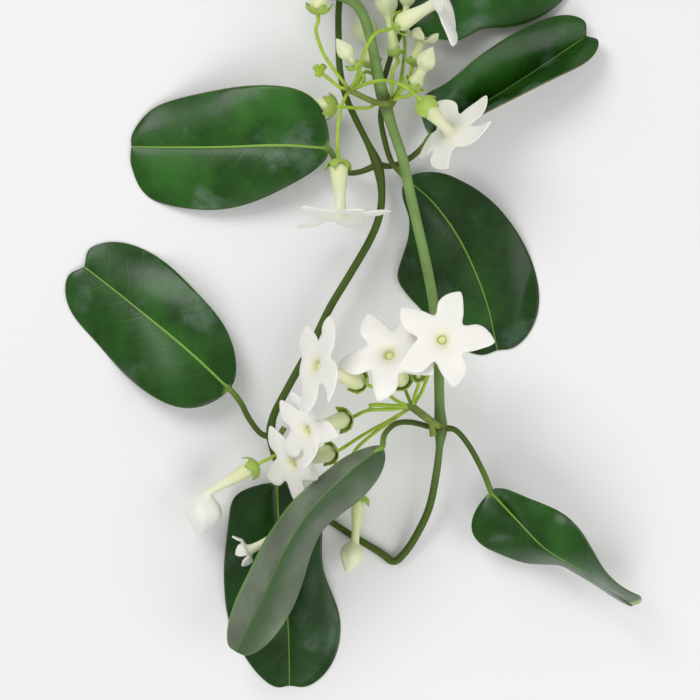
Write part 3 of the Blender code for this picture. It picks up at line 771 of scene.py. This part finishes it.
def leaf(name, rib, petiole, left, right, wave, notch=TIP_NOTCH, colour="leaf"):
    """A blade bent along its midrib, with its petiole.

    left and right each hold how far that half's margin lies out from the midrib, and how far above it,
    at even steps from the base to the tip of a plain oval, and how much the half bulges in between.
    wave holds how high the margin waves, how many times and from where in the wave.
    """
    s = settings().leaf
    points = [Vector(point) for point in rib]
    ends = stretched(points)
    length = sum((points[k + 1] - points[k]).length for k in range(len(points) - 1))
    sheet = blade_sheet(name, ends, (left, right), wave, notch)
    blade = mesh_object(name + "_blade", sheet, [colour, "leaf_back", "edge", "petiole"])
    wall(blade, s.thickness, rim=RIM_SLOT, inside=UNDER_SLOT)
    stalk = [(*point, PETIOLE) for point in petiole]
    stalk[0] = (*petiole[0], PETIOLE * PETIOLE_FOOT)
    for sink in (0.0, 0.5, 1.0):
        place, _ = curve_place(ends, sink * PETIOLE_SINK / length)
        height = place.z - PETIOLE_DROP - PETIOLE_DIP * sink
        stalk.append((place.x, place.y, height, PETIOLE * (1 - PETIOLE_TAPER * sink)))
    rod = tube(smooth_route(stalk, STALK_STEPS), PETIOLE_ROUND, {"reach": lambda share: share})
    add_shell(blade, rod, PETIOLE_SLOT)
    hand_over(blade, name)


def along(foot, tip):
    """A frame at foot whose Z axis points at tip, and its distance."""
    way = Vector(tip) - Vector(foot)
    side = Vector((0, 0, 1)).cross(way)
    side = side.normalized() if side.length > 0.001 else Vector((1, 0, 0))
    ahead = way.normalized()
    turn = Matrix((side, ahead.cross(side), ahead)).transposed().to_4x4()
    return Matrix.Translation(Vector(foot)) @ turn, way.length


def rings(profile, sides, start=0.0, flute=None):
    """An open round sheet through rings of (height, radius, reach), closed at its foot.

    flute gives a share of the radius by height and angle, for ridges.
    """
    bm = bmesh.new()
    tint = bm.verts.layers.float.new("reach")
    height, radius, reach = profile[0]
    place = Matrix.Translation((0, 0, height)) @ Matrix.Rotation(start, 4, "Z")
    bmesh.ops.create_circle(bm, cap_ends=True, cap_tris=True, segments=sides, radius=radius, matrix=place)
    for vert in bm.verts:
        vert[tint] = reach
    rim = [edge for edge in bm.edges if edge.is_boundary]
    for height, radius, reach in profile[1:]:
        made = bmesh.ops.extrude_edge_only(bm, edges=rim)["geom"]
        for vert in made:
            if isinstance(vert, bmesh.types.BMVert):
                flat = vert.co.xy.normalized()
                ridge = flute(height, math.atan2(flat.y, flat.x)) if flute else 1.0
                flat *= radius * ridge
                vert.co = (flat.x, flat.y, height)
                vert[tint] = reach
        rim = [edge for edge in made if isinstance(edge, bmesh.types.BMEdge) and edge.is_boundary]
    return bm, rim


def edges_towards(rim, centre):
    """The fifth of some rim edges that lies around one direction."""
    chosen = []
    for edge in rim:
        middle = (edge.verts[0].co + edge.verts[1].co) / 2
        if math.cos(math.atan2(middle.y, middle.x) - centre) > math.cos(math.pi / LOBES):
            chosen.append(edge)
    return chosen


def lobe(bm, rim, centre, rows):
    """Pull a lobe out of a rim towards centre.

    Its rows are (reach, half width, height, turn, dish, tint).
    """
    tint = bm.verts.layers.float["reach"]
    edges = edges_towards(rim, centre)
    first = {vert for edge in edges for vert in edge.verts}
    order = sorted(first, key=lambda vert: math.sin(math.atan2(vert.co.y, vert.co.x) - centre))
    for reach, half_width, height, turn, dish, share in rows:
        made = bmesh.ops.extrude_edge_only(bm, edges=edges)["geom"]
        verts = [vert for vert in made if isinstance(vert, bmesh.types.BMVert)]
        ahead = {}
        for vert in verts:
            ahead[vert] = min(range(len(order)), key=lambda k: (order[k].co - vert.co).length)
        order = sorted(verts, key=lambda vert: ahead[vert])
        swing = Matrix.Rotation(centre + math.radians(turn), 3, "Z")
        for k, vert in enumerate(order):
            s = -1 + 2 * k / (len(order) - 1)
            spot = swing @ Vector((reach, half_width * s, 0))
            vert.co = (spot.x, spot.y, height - dish * s * s)
            vert[tint] = share
        edges = [edge for edge in made
                 if isinstance(edge, bmesh.types.BMEdge) and set(edge.verts) <= set(verts)]


def set_in_place(bm, weld, frame_of):
    """Knit an edit mesh drawn in millimetres around the Z axis, and move it to its frame."""
    knit(bm, weld)
    bm.transform(Matrix.Scale(MM, 4) @ frame_of)


def between(first, last, share):
    """A value on the way from first to last."""
    return first + (last - first) * share


def corolla(name, foot, mouth, turn=0, size=1.0, bends=FLAT, twists=FLAT):
    """An open flower: its tube from foot to mouth, and five lobes.

    Each lobe's bend is its rise in degrees towards the front, and its twist swings its tip sideways.
    turn is where the first one points.
    """
    s = settings().flower
    frame_of, length = along(foot, mouth)
    width = (1 + size) / 2
    sinus = s.sinus / MM * size
    tip = s.reach / MM * size
    broad = s.half_width / MM * size
    rim_radius = MOUTH * 0.86 * width
    profile = [
        (COROLLA_LIFT, TUBE_FOOT * 0.55 * width, 0.0), (COROLLA_LIFT + 0.8, TUBE_FOOT * 0.8 * width, 0.05),
        (SHOULDER, TUBE_FOOT * width, 0.12), (length * 0.22, TUBE_FOOT * 0.97 * width, 0.22),
        (length * 0.4, TUBE_FOOT * 0.83 * width, 0.4), (length * 0.6, TUBE_NECK * 1.02 * width, 0.6),
        (length * 0.8, TUBE_NECK * width, 0.8), (length * 0.9, TUBE_NECK * 1.12 * width, 0.9),
        (length * 0.96, MOUTH * 0.64 * width, 0.96), (length * 0.985, rim_radius, 1.0),
        (length + 0.1, between(rim_radius, sinus, 0.4), 1.06), (length, sinus, LOBE_REACH),
    ]
    bm, rim = rings(profile, LOBES * EDGES_PER_LOBE, math.radians(turn) + math.pi / LOBES)
    for k, (bend, twist) in enumerate(zip(bends, twists)):
        rise = math.radians(bend)
        rows = []
        for step in range(1, LOBE_ROWS + 1):
            out = step / LOBE_ROWS
            run = (tip - sinus) * out
            arch = math.sin(math.pi * out)
            wide = max(1 - out ** LOBE_SQUARENESS, 0.0) ** LOBE_BLUNTNESS
            wide = wide * (1 + LOBE_BELLY * arch) + LOBE_POINT
            rows.append((
                sinus + run * math.cos(rise), broad * wide,
                length + run * math.sin(rise) - LOBE_DROOP * out * out + LOBE_ARCH * arch,
                LOBE_BOW * arch + (LOBE_SKEW + twist) * out, LOBE_DISH * wide,
                LOBE_REACH + LOBE_REACH_GAIN * out,
            ))
        lobe(bm, rim, math.radians(turn) + 2 * math.pi * k / LOBES, rows)
    set_in_place(bm, WELD_SHEET, frame_of)
    made = mesh_object(name + "_corolla", bm, ["bud" if name == GREEN_FLOWER else "petal", "throat"])
    wall(made, s.petal)
    soften(made)
    heart, _ = rings([(length - drop, radius * width, 0.0) for drop, radius in HEART], HEART_SIDES)
    set_in_place(heart, WELD_TIP, frame_of)
    add_shell(made, heart, 1)
    hand_over(made, name)


def bud(name, foot, neck, tip, swell=4.5, tube_width=1.0, colour="bud"):
    """A closed flower: a tube from foot to neck, and a swollen head that ends in a blunt point."""
    frame_of, length = along(foot, neck)
    ahead = Vector(tip) - Vector(neck)
    head = ahead.length
    bent = Vector((0, 0, 1)).rotation_difference(frame_of.to_3x3().inverted() @ ahead)
    top = Vector((0, 0, length))
    profile = [(COROLLA_LIFT, TUBE_FOOT * 0.58 * tube_width, 0.0)]
    if length > COROLLA_LIFT + 4:
        profile += [
            (COROLLA_LIFT + 0.8, TUBE_FOOT * 0.84 * tube_width, 0.06),
            (SHOULDER, TUBE_FOOT * tube_width, 0.12),
            (between(SHOULDER, length, 0.35), TUBE_FOOT * 0.88 * tube_width, 0.4),
            (between(SHOULDER, length, 0.7), TUBE_NECK * 1.04 * tube_width, 0.7),
        ]
    profile.append((length, TUBE_NECK * 1.15 * tube_width, 1.0))
    neck_share = TUBE_NECK * tube_width / swell
    for out, wide in BUD_HEAD:
        wide = max(wide, neck_share * (1 - out)) if out < 0.3 else wide
        profile.append((length + head * out, swell * wide, 1.0 + out))

    def ridge(height, angle):
        share = min(max((height - length) / head, 0.0), 1.0)
        depth = RIDGE * math.sin(math.pi * share) ** 0.7
        return 1 + depth * (abs(math.sin(LOBES * (angle + RIDGE_TWIST * share) / 2)) - 0.75)

    bm, _ = rings(profile, BUD_SIDES, flute=ridge)
    for vert in bm.verts:
        if vert.co.z > length:
            vert.co = top + bent @ (vert.co - top)
    set_in_place(bm, WELD_TIP, frame_of)
    made = mesh_object(name + "_head", bm, [colour])
    soften(made)
    hand_over(made, name)


def calyx(foot, mouth, size=1.0, turn=0.0):
    """The small green cup behind a flower, with its five pointed sepals, as an edit mesh."""
    frame_of, _ = along(foot, mouth)
    cup = [
        (0.0, 1.2 * size, 0.0), (0.15, 2.2 * size, 0.1), (0.6 * size, 3.3 * size, 0.25),
        (1.3 * size, 4.3 * size, 0.4), (CALYX_HEIGHT * size, CALYX_CUP * size, 0.5),
    ]
    bm, rim = rings(cup, CALYX_SIDES, math.radians(turn))
    for k in range(LOBES):
        rows = []
        for out, wide in SEPAL_ROWS:
            rows.append((
                between(CALYX_CUP, SEPAL_TIP, out) * size, SEPAL_HALF_WIDTH * wide * size,
                (CALYX_HEIGHT + SEPAL_HEIGHT * out ** 0.9) * size, 0, 0.15 * wide, 0.5 + 0.5 * out,
            ))
        lobe(bm, rim, math.radians(turn) + math.pi / LOBES + 2 * math.pi * k / LOBES, rows)
    set_in_place(bm, WELD_SHEET, frame_of)
    made = mesh_object("calyx_sheet", bm, ["calyx"])
    wall(made, settings().stalk.sepal)
    soften(made)
    bm = opened(made.data)
    bpy.data.objects.remove(made)
    return bm


def woodiness(radius, share):
    """How brown a stalk is some share of the way along: a thick one all along, a thin one at its foot."""
    if radius == YOUNG_BUD:
        return 0.0
    return 1.0 if radius > PEDICEL * 1.3 else max(0.0, 0.8 - 4 * share)


def pedicel(route, foot, mouth):
    """A thin flower stalk's route, led on into the calyx along its axis."""
    ahead = (Vector(mouth) - Vector(foot)).normalized()
    near = Vector(foot) - ahead * STALK_STRAIGHT
    inside = Vector(foot) + ahead * STALK_INSIDE
    return [*route, tuple(near), tuple(inside)]


def stalk_rod(points, radius):
    """A flower stalk, a little wider at its far end, as an edit mesh."""
    route = [(*point, radius) for point in points]
    route[-1] = (*points[-1], radius * STALK_END)
    tints = {"thick": lambda share: woodiness(radius, share)}
    return tube(smooth_route(route, STALK_STEPS), STALK_ROUND, tints)


def bunch(name, rods, flowers):
    """A bunch: its stalks and calyxes in one piece, and its flowers and buds."""
    bm = bmesh.new()
    for points, radius in rods:
        absorb(bm, stalk_rod(points, radius))
    for _, (foot, mouth, *_), route, cup, _ in flowers:
        absorb(bm, stalk_rod(pedicel(route, foot, mouth), PEDICEL))
        absorb(bm, calyx(foot, mouth, *cup), slot=1)
    made = mesh_object(name + "_stems", bm, ["stalk", "calyx"])
    hand_over(made, name)
    for flower, places, _, _, form in flowers:
        make = corolla if len(places) == 2 else bud
        make(flower, *places, **form)


# The stem's route in stretches of one radius. A fourth number marks a knot, and says how full it is.
STEM = (
    # Thick cut end, over the thin one, down to the first knot.
    (STEM_THICK, (
        (-31.5, 160.5, 2.8), (-24, 153, 7), (-15, 144.5, 14), (-6, 139, 20), (0.5, 135.5, 22),
        (4.5, 130, 22), (7, 122.5, 22), (9.5, 112, 22), (11.5, 101, 22, 0.5), (14, 91.5, 22, 1),
    )),
    # Down over the large leaf to the knot of the lower bunch.
    (STEM_THICK, (
        (17.5, 80, 21), (22.5, 65, 21), (25, 53, 21), (29, 35.5, 21), (33.5, 15.5, 21), (37, -5, 20),
        (38.5, -27.5, 19), (39, -45.5, 18), (39.5, -56, 18, 1),
    )),
    # The loop, which comes down to the table and turns back.
    (STEM_MIDDLE, (
        (39, -64, 17.5), (37.5, -77, 15.5), (34.5, -92, 11.5), (29, -104.5, 7), (23.5, -113, 4),
        (18.5, -117, 2.4), (12.5, -113, 2.2),
    )),
    (STEM_THIN, (
        (-1.5, -104.5, 2.2), (-13, -97, 2.4), (-23, -90.5, 4), (-28, -84, 6.5), (-33.5, -74, 9.5),
        (-37, -60, 13, 1),
    )),
    # Up again behind the flowers to the knot of the first pair of leaves.
    (STEM_MIDDLE, (
        (-36, -50.5, 14), (-31, -40.5, 15), (-25.5, -30.5, 15.5), (-18.5, -18, 15.5), (-10.5, -1.5, 15),
        (-1.5, 13.5, 14), (7.5, 29, 12.5), (12, 40.5, 12), (13, 52, 12), (11, 63.5, 12, 1),
    )),
    # On to the thin cut end.
    (STEM_THIN, (
        (6.5, 73.5, 12), (1, 84.5, 13), (-3.5, 95, 14), (-6, 107, 14), (-6.5, 120, 13.5),
        (-6.5, 133.5, 13), (-5, 144.5, 11), (-1, 156, 6), (4.5, 167, 2),
    )),
)


def leaves():
    """The eight leaves, each from its knot on the stem."""
    leaf("leaf_upper_left",
         [(-11, 70.5, 14), (-33, 72, 14), (-60.5, 71.5, 11), (-88, 72, 4), (-102, 72.5, 0.8)],
         [(11, 63.5, 12), (4, 60.5, 11), (-2.5, 60, 12), (-7.5, 65, 13)],
         ((18, 23, 28, 28.5, 30), (0, 0, -4, -4, -2), 2), ((37, 30, 26, 22.5, 19), (6, 3, 1, -3, -2), 1.5),
         wave=(1.5, 1.5, 0.1))
    leaf("leaf_left",
         [(-56, -38, 12), (-75, -20.5, 10), (-99, -1, 5), (-126.5, 20.5, 0.8)],
         [(-37, -60, 13), (-42, -58, 14), (-47, -51.5, 14), (-51, -44, 13)],
         ((32, 28.5, 27, 26.5, 33), (2, 0, -3, -4, -2), 2), ((18, 21, 23, 27, 32), (2, 2, 0, -3, -2), 1.5),
         wave=(1.5, 1.5, 0.6), notch=0.045)
    leaf("leaf_upper_right",
         [(35, 76.5, 10), (53, 87.5, 8), (80.5, 105, 6), (110, 125, 4)],
         [(11, 63.5, 12), (17.5, 63, 9.5), (25, 66, 9.5), (31.5, 71.5, 10)],
         ((32, 18.5, 18.5, 21, 25), (6, 11, 13, 11, 8), 2),
         ((4, 4.5, 6, 10, 20), (18, 20, 20, 18, 12), 1.5),
         wave=(1.0, 1.5, 0.3), notch=0.04)
    leaf("leaf_top",
         [(23.5, 127.5, 8), (34, 137, 8), (51, 146.5, 6), (74, 152.5, 3), (101, 155.5, 1)],
         [(12.5, 98, 21), (15, 105, 15), (18, 115.5, 9.5), (21.5, 123, 8)],
         ((24, 24, 25, 25, 25), (4, 3, 2, 1, 0), 2), ((22, 24, 22.5, 28, 31), (0, 0, 2, 2, 1), 2),
         wave=(1.5, 1.5, 0.1))
    leaf("leaf_middle_right",
         [(24.5, 57, 9), (37, 46, 7), (49.5, 28.5, 4), (60.5, 3, 1.5), (66.5, -22.5, 0)],
         [(14, 91.5, 22), (12.5, 84.5, 16), (14.5, 73.5, 14.5), (17.5, 64.5, 13.5), (21.5, 60, 11)],
         ((13, 18, 23.5, 28.5, 31), (2, 2, 1, -2, -3), 1.5), ((15, 17, 33, 31, 32), (0, 0, -2, -3, -2), 2),
         wave=(1.5, 1.5, 0.35))
    leaf("leaf_lower_right",
         [(62.5, -84.5, 14), (74, -97, 18), (86, -109.5, 23), (101, -118.5, 24),
          (115, -128, 20), (127.5, -136.5, 14)],
         [(39.5, -56, 18), (46, -56.5, 19), (52.5, -64, 18), (59, -76, 15.5)],
         ((11, 13, 17.5, 16, 6, 6, 13), (14, 12, 6, 8, 17, 19, 14), 2),
         ((38, 25, 12, 4, 3, 2.5, 4), (-4, -6, -16, -20, -20, -17, -10), 3),
         wave=(1.0, 1.5, 0.2))
    leaf("leaf_front",
         [(13, -63, 42), (-1.5, -73.5, 54), (-18, -89.5, 57), (-30.5, -109, 52),
          (-41, -132, 42), (-53.5, -157.5, 26)],
         [(39.5, -56, 18), (34, -55, 17), (26, -53, 20), (19, -53.5, 27), (14, -58, 35)],
         ((21, 14, 10, 15.5, 24), (-10, -12, -15, -18, -11), 2.5),
         ((9, 7, 8, 11, 19), (-16, -20, -24, -23, -15), 2.5),
         wave=(0.8, 1.5, 0.0), colour="leaf_back")
    leaf("leaf_bottom",
         [(-34.5, -81, 7), (-34, -95.5, 5), (-31.5, -121, 3), (-29.5, -148.5, 1.5), (-29, -176, 0)],
         [(-37, -60, 13), (-34.5, -64, 9), (-33, -70, 6.5), (-33.5, -76, 6.5)],
         ((23, 22, 18, 27, 32), (2, 2, 3, -1, -3), 2), ((33, 25.5, 27.5, 29, 26), (1, -1, -2, -3, -3), 2),
         wave=(1.2, 1.5, 0.55))


# Where the thin stalks of the flowers and buds start.
UPPER_HEART = (-1.5, 95.5, 28)
SIDE_HEART = (17, 90.5, 25)
YOUNG_HEART = (-15, 104, 26)
LOWER_HEART = (26.5, -46, 27)
BACK_HEART = (-32.5, -64.5, 16)

# Every flower and bud of a bunch: its name, the places of its calyx and its mouth, the route of its
# stalk up to the calyx, the size and turn of the calyx, and its form. A bud has the places of its
# calyx, its neck and its tip.
UPPER_FLOWERS = (
    ("flower_top", ((-15.5, 129.5, 28), (-14.5, 153.5, 33)),
     (UPPER_HEART, (-6.5, 102, 29), (-13, 111.5, 29), (-16.5, 121.5, 28)), (1.0, 10), {"turn": 14}),
    ("flower_thrown", ((18.5, 124, 29), (38.5, 134, 40)),
     (UPPER_HEART, (2, 101.5, 31), (5, 112, 32), (10, 120.5, 31)), (1.0, 0),
     {"turn": 159, "bends": (0, -30, 0, 0, 50)}),
    ("flower_facing_away", ((30, 88.5, 50), (43.5, 75.5, 37)),
     (UPPER_HEART, (6, 98, 33), (14, 98.5, 42), (22.5, 95, 51)), (1.0, 20),
     {"turn": 4, "bends": (0, 0, 0, 30, -10), "twists": (0, -24, -20, 0, 0)}),
    ("flower_hanging", ((-6.5, 64.5, 31), (-5.5, 39, 35)),
     (UPPER_HEART, (-4.5, 90, 31), (-6.5, 81, 33), (-7, 71, 32)), (1.0, 5),
     {"turn": -6, "bends": (-5, 12, -4, 14, 6)}),
    ("flower_half_open", ((27, 107.5, 20), (30.5, 119, 22)),
     (SIDE_HEART, (22, 96.5, 21), (25.5, 102, 18)), (0.85, 30),
     {"size": 0.5, "bends": (60, 60, 60, 60, 60)}),
    ("bud_pale", ((2, 105, 32), (-0.5, 108.5, 33), (-7.5, 118, 34)),
     (UPPER_HEART, (3.5, 97.5, 29), (5, 100.5, 31)), (0.75, 0), {"swell": 3.9, "tube_width": 0.7}),
    ("bud_behind", ((8.5, 107.5, 12), (7, 118.5, 10), (3.5, 135, 8.5)),
     (UPPER_HEART, (2, 99, 23), (5.5, 105, 17)), (0.8, 0), {"swell": 6.0, "tube_width": 0.7}),
    ("bud_top_left", ((19.5, 112, 19), (16, 129, 18.5), (13.5, 146.5, 18)),
     (SIDE_HEART, (17.5, 99, 22), (18, 105.5, 20)), (0.7, 0), {"swell": 5.4, "tube_width": 0.65}),
    ("bud_top_right", ((23, 125.5, 16.5), (24, 134, 17), (25, 143.5, 18)),
     (SIDE_HEART, (21, 98.5, 18), (23, 111, 12), (23.5, 118, 13)), (0.7, 0),
     {"swell": 3.8, "tube_width": 0.65}),
    ("bud_right", ((26, 95.5, 29), (30.5, 103.5, 31), (35.5, 114.5, 33)),
     (SIDE_HEART, (20.5, 92.5, 27)), (1.0, 0), {}),
    ("bud_tucked", ((-7.5, 89.5, 15), (-25, 91, 9), (-37, 92, 7)),
     ((11, 90, 28), (6.5, 88, 24), (-0.5, 88.5, 20)), (1.0, 15),
     {"swell": 4.4, "tube_width": 0.95, "colour": "petal"}),
)
LOWER_FLOWERS = (
    ("flower_facing", ((37.5, -22, 31), (39, -15.5, 57)),
     (LOWER_HEART, (30.5, -39.5, 28), (34, -31, 27)), (1.0, 0),
     {"turn": 48, "bends": (-8, -35, 0, 0, -8)}),
    ("flower_left_of_facing", ((22, -35, 23), (15.5, -22, 49)),
     (LOWER_HEART, (24.5, -41, 23)), (1.0, 20), {"turn": -16}),
    ("flower_sideways", ((5, -35.5, 37), (-17, -27, 54)),
     (LOWER_HEART, (20, -43.5, 29), (14, -39, 30)), (1.0, 0),
     {"turn": 16, "bends": (8, 0, 0, 0, -70), "twists": (8, -30, 30, 0, 0)}),
    ("flower_upper_twin", ((-2, -51, 28), (-21, -56, 46)),
     (LOWER_HEART, (16.5, -47, 28), (6.5, -47.5, 30)), (1.0, 10),
     {"turn": 4, "size": 0.86, "bends": (50, 0, 30, 0, 0), "twists": (0, 0, 25, 0, 0)}),
    ("flower_lower_twin", ((-8.5, -66.5, 14), (-27.5, -71, 31)),
     (LOWER_HEART, (16.5, -52, 24), (5, -58.5, 19)), (1.0, 0),
     {"turn": -6, "size": 0.9, "bends": (0, 16, -40, 0, 0)}),
    ("bud_small", ((29, -34, 35), (29, -30, 38), (28.5, -25, 42)),
     (LOWER_HEART, (27.5, -41, 30)), (0.6, 0), {"swell": 2.0, "tube_width": 0.5}),
    ("bud_hanging", ((2.5, -86, 11), (1, -106.5, 10), (-3, -122, 9)),
     (LOWER_HEART, (17.5, -52, 22), (2.5, -64, 17), (-1.5, -73, 14), (1.5, -80.5, 13)), (0.95, 0),
     {"swell": 5.4, "tube_width": 0.8}),
)
BACK_FLOWERS = (
    ("bud_cream", ((-43, -72, 21), (-66, -85, 18), (-69.5, -105, 14)),
     (BACK_HEART, (-34.5, -67.5, 18), (-38, -69.5, 20)), (0.95, 0),
     {"swell": 8.8, "tube_width": 0.95, "colour": "petal"}),
    ("flower_hidden", ((-27.5, -101.5, 19), (-47.5, -111, 17.5)),
     (BACK_HEART, (-27.5, -71, 15), (-23, -81, 15), (-21, -91.5, 18)), (0.85, 0),
     {"turn": 174, "size": 0.47, "bends": (45, 82, 82, 82, 82)}),
)


def upper_bunch():
    """The bunch at the top, with its flowers and buds."""
    long_way = ((18, 90, 24), (14.5, 89.5, 28), (10.5, 90, 29), (5.5, 92, 29), UPPER_HEART, (-2.5, 96, 28))
    rods = [
        (long_way, PEDUNCLE * 0.75), (((16.5, 89, 23), SIDE_HEART, (18, 91.5, 26)), PEDUNCLE),
        ((UPPER_HEART, (-6.5, 97.5, 26), (-11.5, 101.5, 25), YOUNG_HEART), PEDICEL),
    ]
    for young_bud in ((-17, 106.5, 27), (-13, 106.5, 28), (-16, 102, 26)):
        rods.append(((YOUNG_HEART, young_bud), YOUNG_BUD))
    bunch("stalks_upper", rods, UPPER_FLOWERS)


def lower_bunch():
    """The bunch in the middle, with most of the open flowers."""
    rods = (
        (((38.5, -54.5, 21), (35, -52.5, 25), (30.5, -49, 27), LOWER_HEART, (25, -44.5, 27)), PEDUNCLE),
        (((35, -52.5, 25), (35.5, -56, 24), (36, -59, 23.5)), PEDUNCLE * 0.8),
        ((LOWER_HEART, (18, -45.5, 29), (11, -45, 30), (7, -45.5, 30)), PEDICEL * 1.2),
    )
    bunch("stalks_lower", rods, LOWER_FLOWERS)


def back_bunch():
    """The small bunch at the back, at the knot of the second pair of leaves."""
    rods = (
        (((-36, -60.5, 14), (-34, -62, 16), BACK_HEART, (-31.5, -65, 16)), PEDUNCLE * 0.8),
        (((-34, -62, 16), (-33, -59, 16.5), (-31, -55.5, 17)), PEDUNCLE * 0.7),
    )
    bunch("stalks_back", rods, BACK_FLOWERS)


def vine():
    """The one long twining stem, with swollen knots."""
    places = []
    knots = []
    for radius, points in STEM:
        for x, y, z, *knot in points:
            if knot == [1]:
                knots.append(len(places))
            places.append((x, y, z, radius + STEM_KNOT * sum(knot)))
    knots = [k / (len(places) - 1) for k in knots]
    tints = {
        "young": lambda share: min(max((YOUNG_END - share) / YOUNG_FADE, 0.0), 1.0),
        "knot": lambda share: max(1 - min(abs(share - k) for k in knots) * KNOT_FADE, 0.0),
    }
    bm = tube(smooth_route(places, STEM_STEPS), STEM_ROUND, tints)
    made = mesh_object("twining_stem", bm, ["stem"])
    hand_over(made, "vine")


def stage():
    """A pale table, soft lights and the camera over it."""
    s = settings().stage
    n = Nodes("table_paint", 0.85, Specular_IOR_Level=0.1)
    n.paint(n.mix(n.noise(3, 2), shade(s.floor, 0.985), s.floor))
    bm = bmesh.new()
    bmesh.ops.create_grid(bm, x_segments=1, y_segments=1, size=TABLE_HALF)
    mesh = bpy.data.meshes.new("table")
    bm.to_mesh(mesh)
    bm.free()
    mesh.materials.append(n.material)
    table = shown("table", mesh)
    for name, power, size, place in LAMPS:
        light = bpy.data.lights.new(name, "AREA")
        light.shape = "DISK"
        light.size = size
        light.energy = getattr(s, power)
        lamp = shown(name, light)
        lamp.location = place
        lamp.rotation_euler = (-Vector(place)).to_track_quat("-Z", "Y").to_euler()
    world = bpy.data.worlds.new("studio")
    world.use_nodes = True
    background = world.node_tree.nodes["Background"]
    background.inputs["Color"].default_value = (1, 1, 1, 1)
    background.inputs["Strength"].default_value = WORLD_STRENGTH
    bpy.context.scene.world = world
    camera = bpy.data.cameras.new("camera")
    camera.lens = s.lens
    camera.sensor_width = SENSOR_MM
    camera.clip_start = CAMERA_NEAR
    eye = shown("camera", camera)
    eye.location = (*CAMERA_OVER, s.height)
    bpy.context.scene.camera = eye
    bpy.context.scene.view_settings.view_transform = "Standard"


class JASMINE_OT_stage(bpy.types.Operator):
    """Set the table, lights and camera."""

    bl_idname = "jasmine.stage"
    bl_label = "Stage"

    def execute(self, context):
        stage()
        return {"FINISHED"}


class JASMINE_OT_vine(bpy.types.Operator):
    """Grow the twining stem."""

    bl_idname = "jasmine.vine"
    bl_label = "Twining stem"

    def execute(self, context):
        vine()
        return {"FINISHED"}


class JASMINE_OT_leaves(bpy.types.Operator):
    """Grow the eight leathery leaves."""

    bl_idname = "jasmine.leaves"
    bl_label = "Leaves"

    def execute(self, context):
        leaves()
        return {"FINISHED"}


class JASMINE_OT_upper_bunch(bpy.types.Operator):
    """Grow the bunch at the top."""

    bl_idname = "jasmine.upper_bunch"
    bl_label = "Upper bunch"

    def execute(self, context):
        upper_bunch()
        return {"FINISHED"}


class JASMINE_OT_lower_bunch(bpy.types.Operator):
    """Grow the bunch in the middle."""

    bl_idname = "jasmine.lower_bunch"
    bl_label = "Lower bunch"

    def execute(self, context):
        lower_bunch()
        return {"FINISHED"}


class JASMINE_OT_back_bunch(bpy.types.Operator):
    """Grow the small bunch at the back."""

    bl_idname = "jasmine.back_bunch"
    bl_label = "Back bunch"

    def execute(self, context):
        back_bunch()
        return {"FINISHED"}


OPERATORS = (
    JASMINE_OT_vine, JASMINE_OT_leaves, JASMINE_OT_upper_bunch, JASMINE_OT_lower_bunch,
    JASMINE_OT_back_bunch, JASMINE_OT_stage,
)


class JASMINE_PT_panel(bpy.types.Panel):
    """Lists the groups of the spray and their values."""

    bl_idname = "JASMINE_PT_panel"
    bl_label = "Jasmine spray"
    bl_space_type = "VIEW_3D"
    bl_region_type = "UI"
    bl_category = "Jasmine"

    def draw(self, context):
        for operator in OPERATORS:
            self.layout.operator(operator.bl_idname)
        for group in (JasmineStem, JasmineLeaf, JasmineFlower, JasmineStalk, JasmineStage):
            key = group.__name__.replace("Jasmine", "").lower()
            box = self.layout.box()
            box.label(text=key.capitalize())
            for value in group.__annotations__:
                box.prop(getattr(context.scene.jasmine, key), value)


CLASSES = (
    JasmineStem, JasmineLeaf, JasmineFlower, JasmineStalk, JasmineStage, JasmineSettings,
    *OPERATORS, JASMINE_PT_panel,
)


def register():
    """Add the classes and the values to Blender."""
    for kind in CLASSES:
        bpy.utils.register_class(kind)
    bpy.types.Scene.jasmine = PointerProperty(type=JasmineSettings, name="Jasmine", description="The spray")


def unregister():
    """Take the classes and the values out of Blender."""
    del bpy.types.Scene.jasmine
    for kind in reversed(CLASSES):
        bpy.utils.unregister_class(kind)


def main():
    """Build the whole spray."""
    register()
    bpy.ops.jasmine.vine()
    bpy.ops.jasmine.leaves()
    bpy.ops.jasmine.upper_bunch()
    bpy.ops.jasmine.lower_bunch()
    bpy.ops.jasmine.back_bunch()
    bpy.ops.jasmine.stage()


if __name__ == "__main__":
    main()
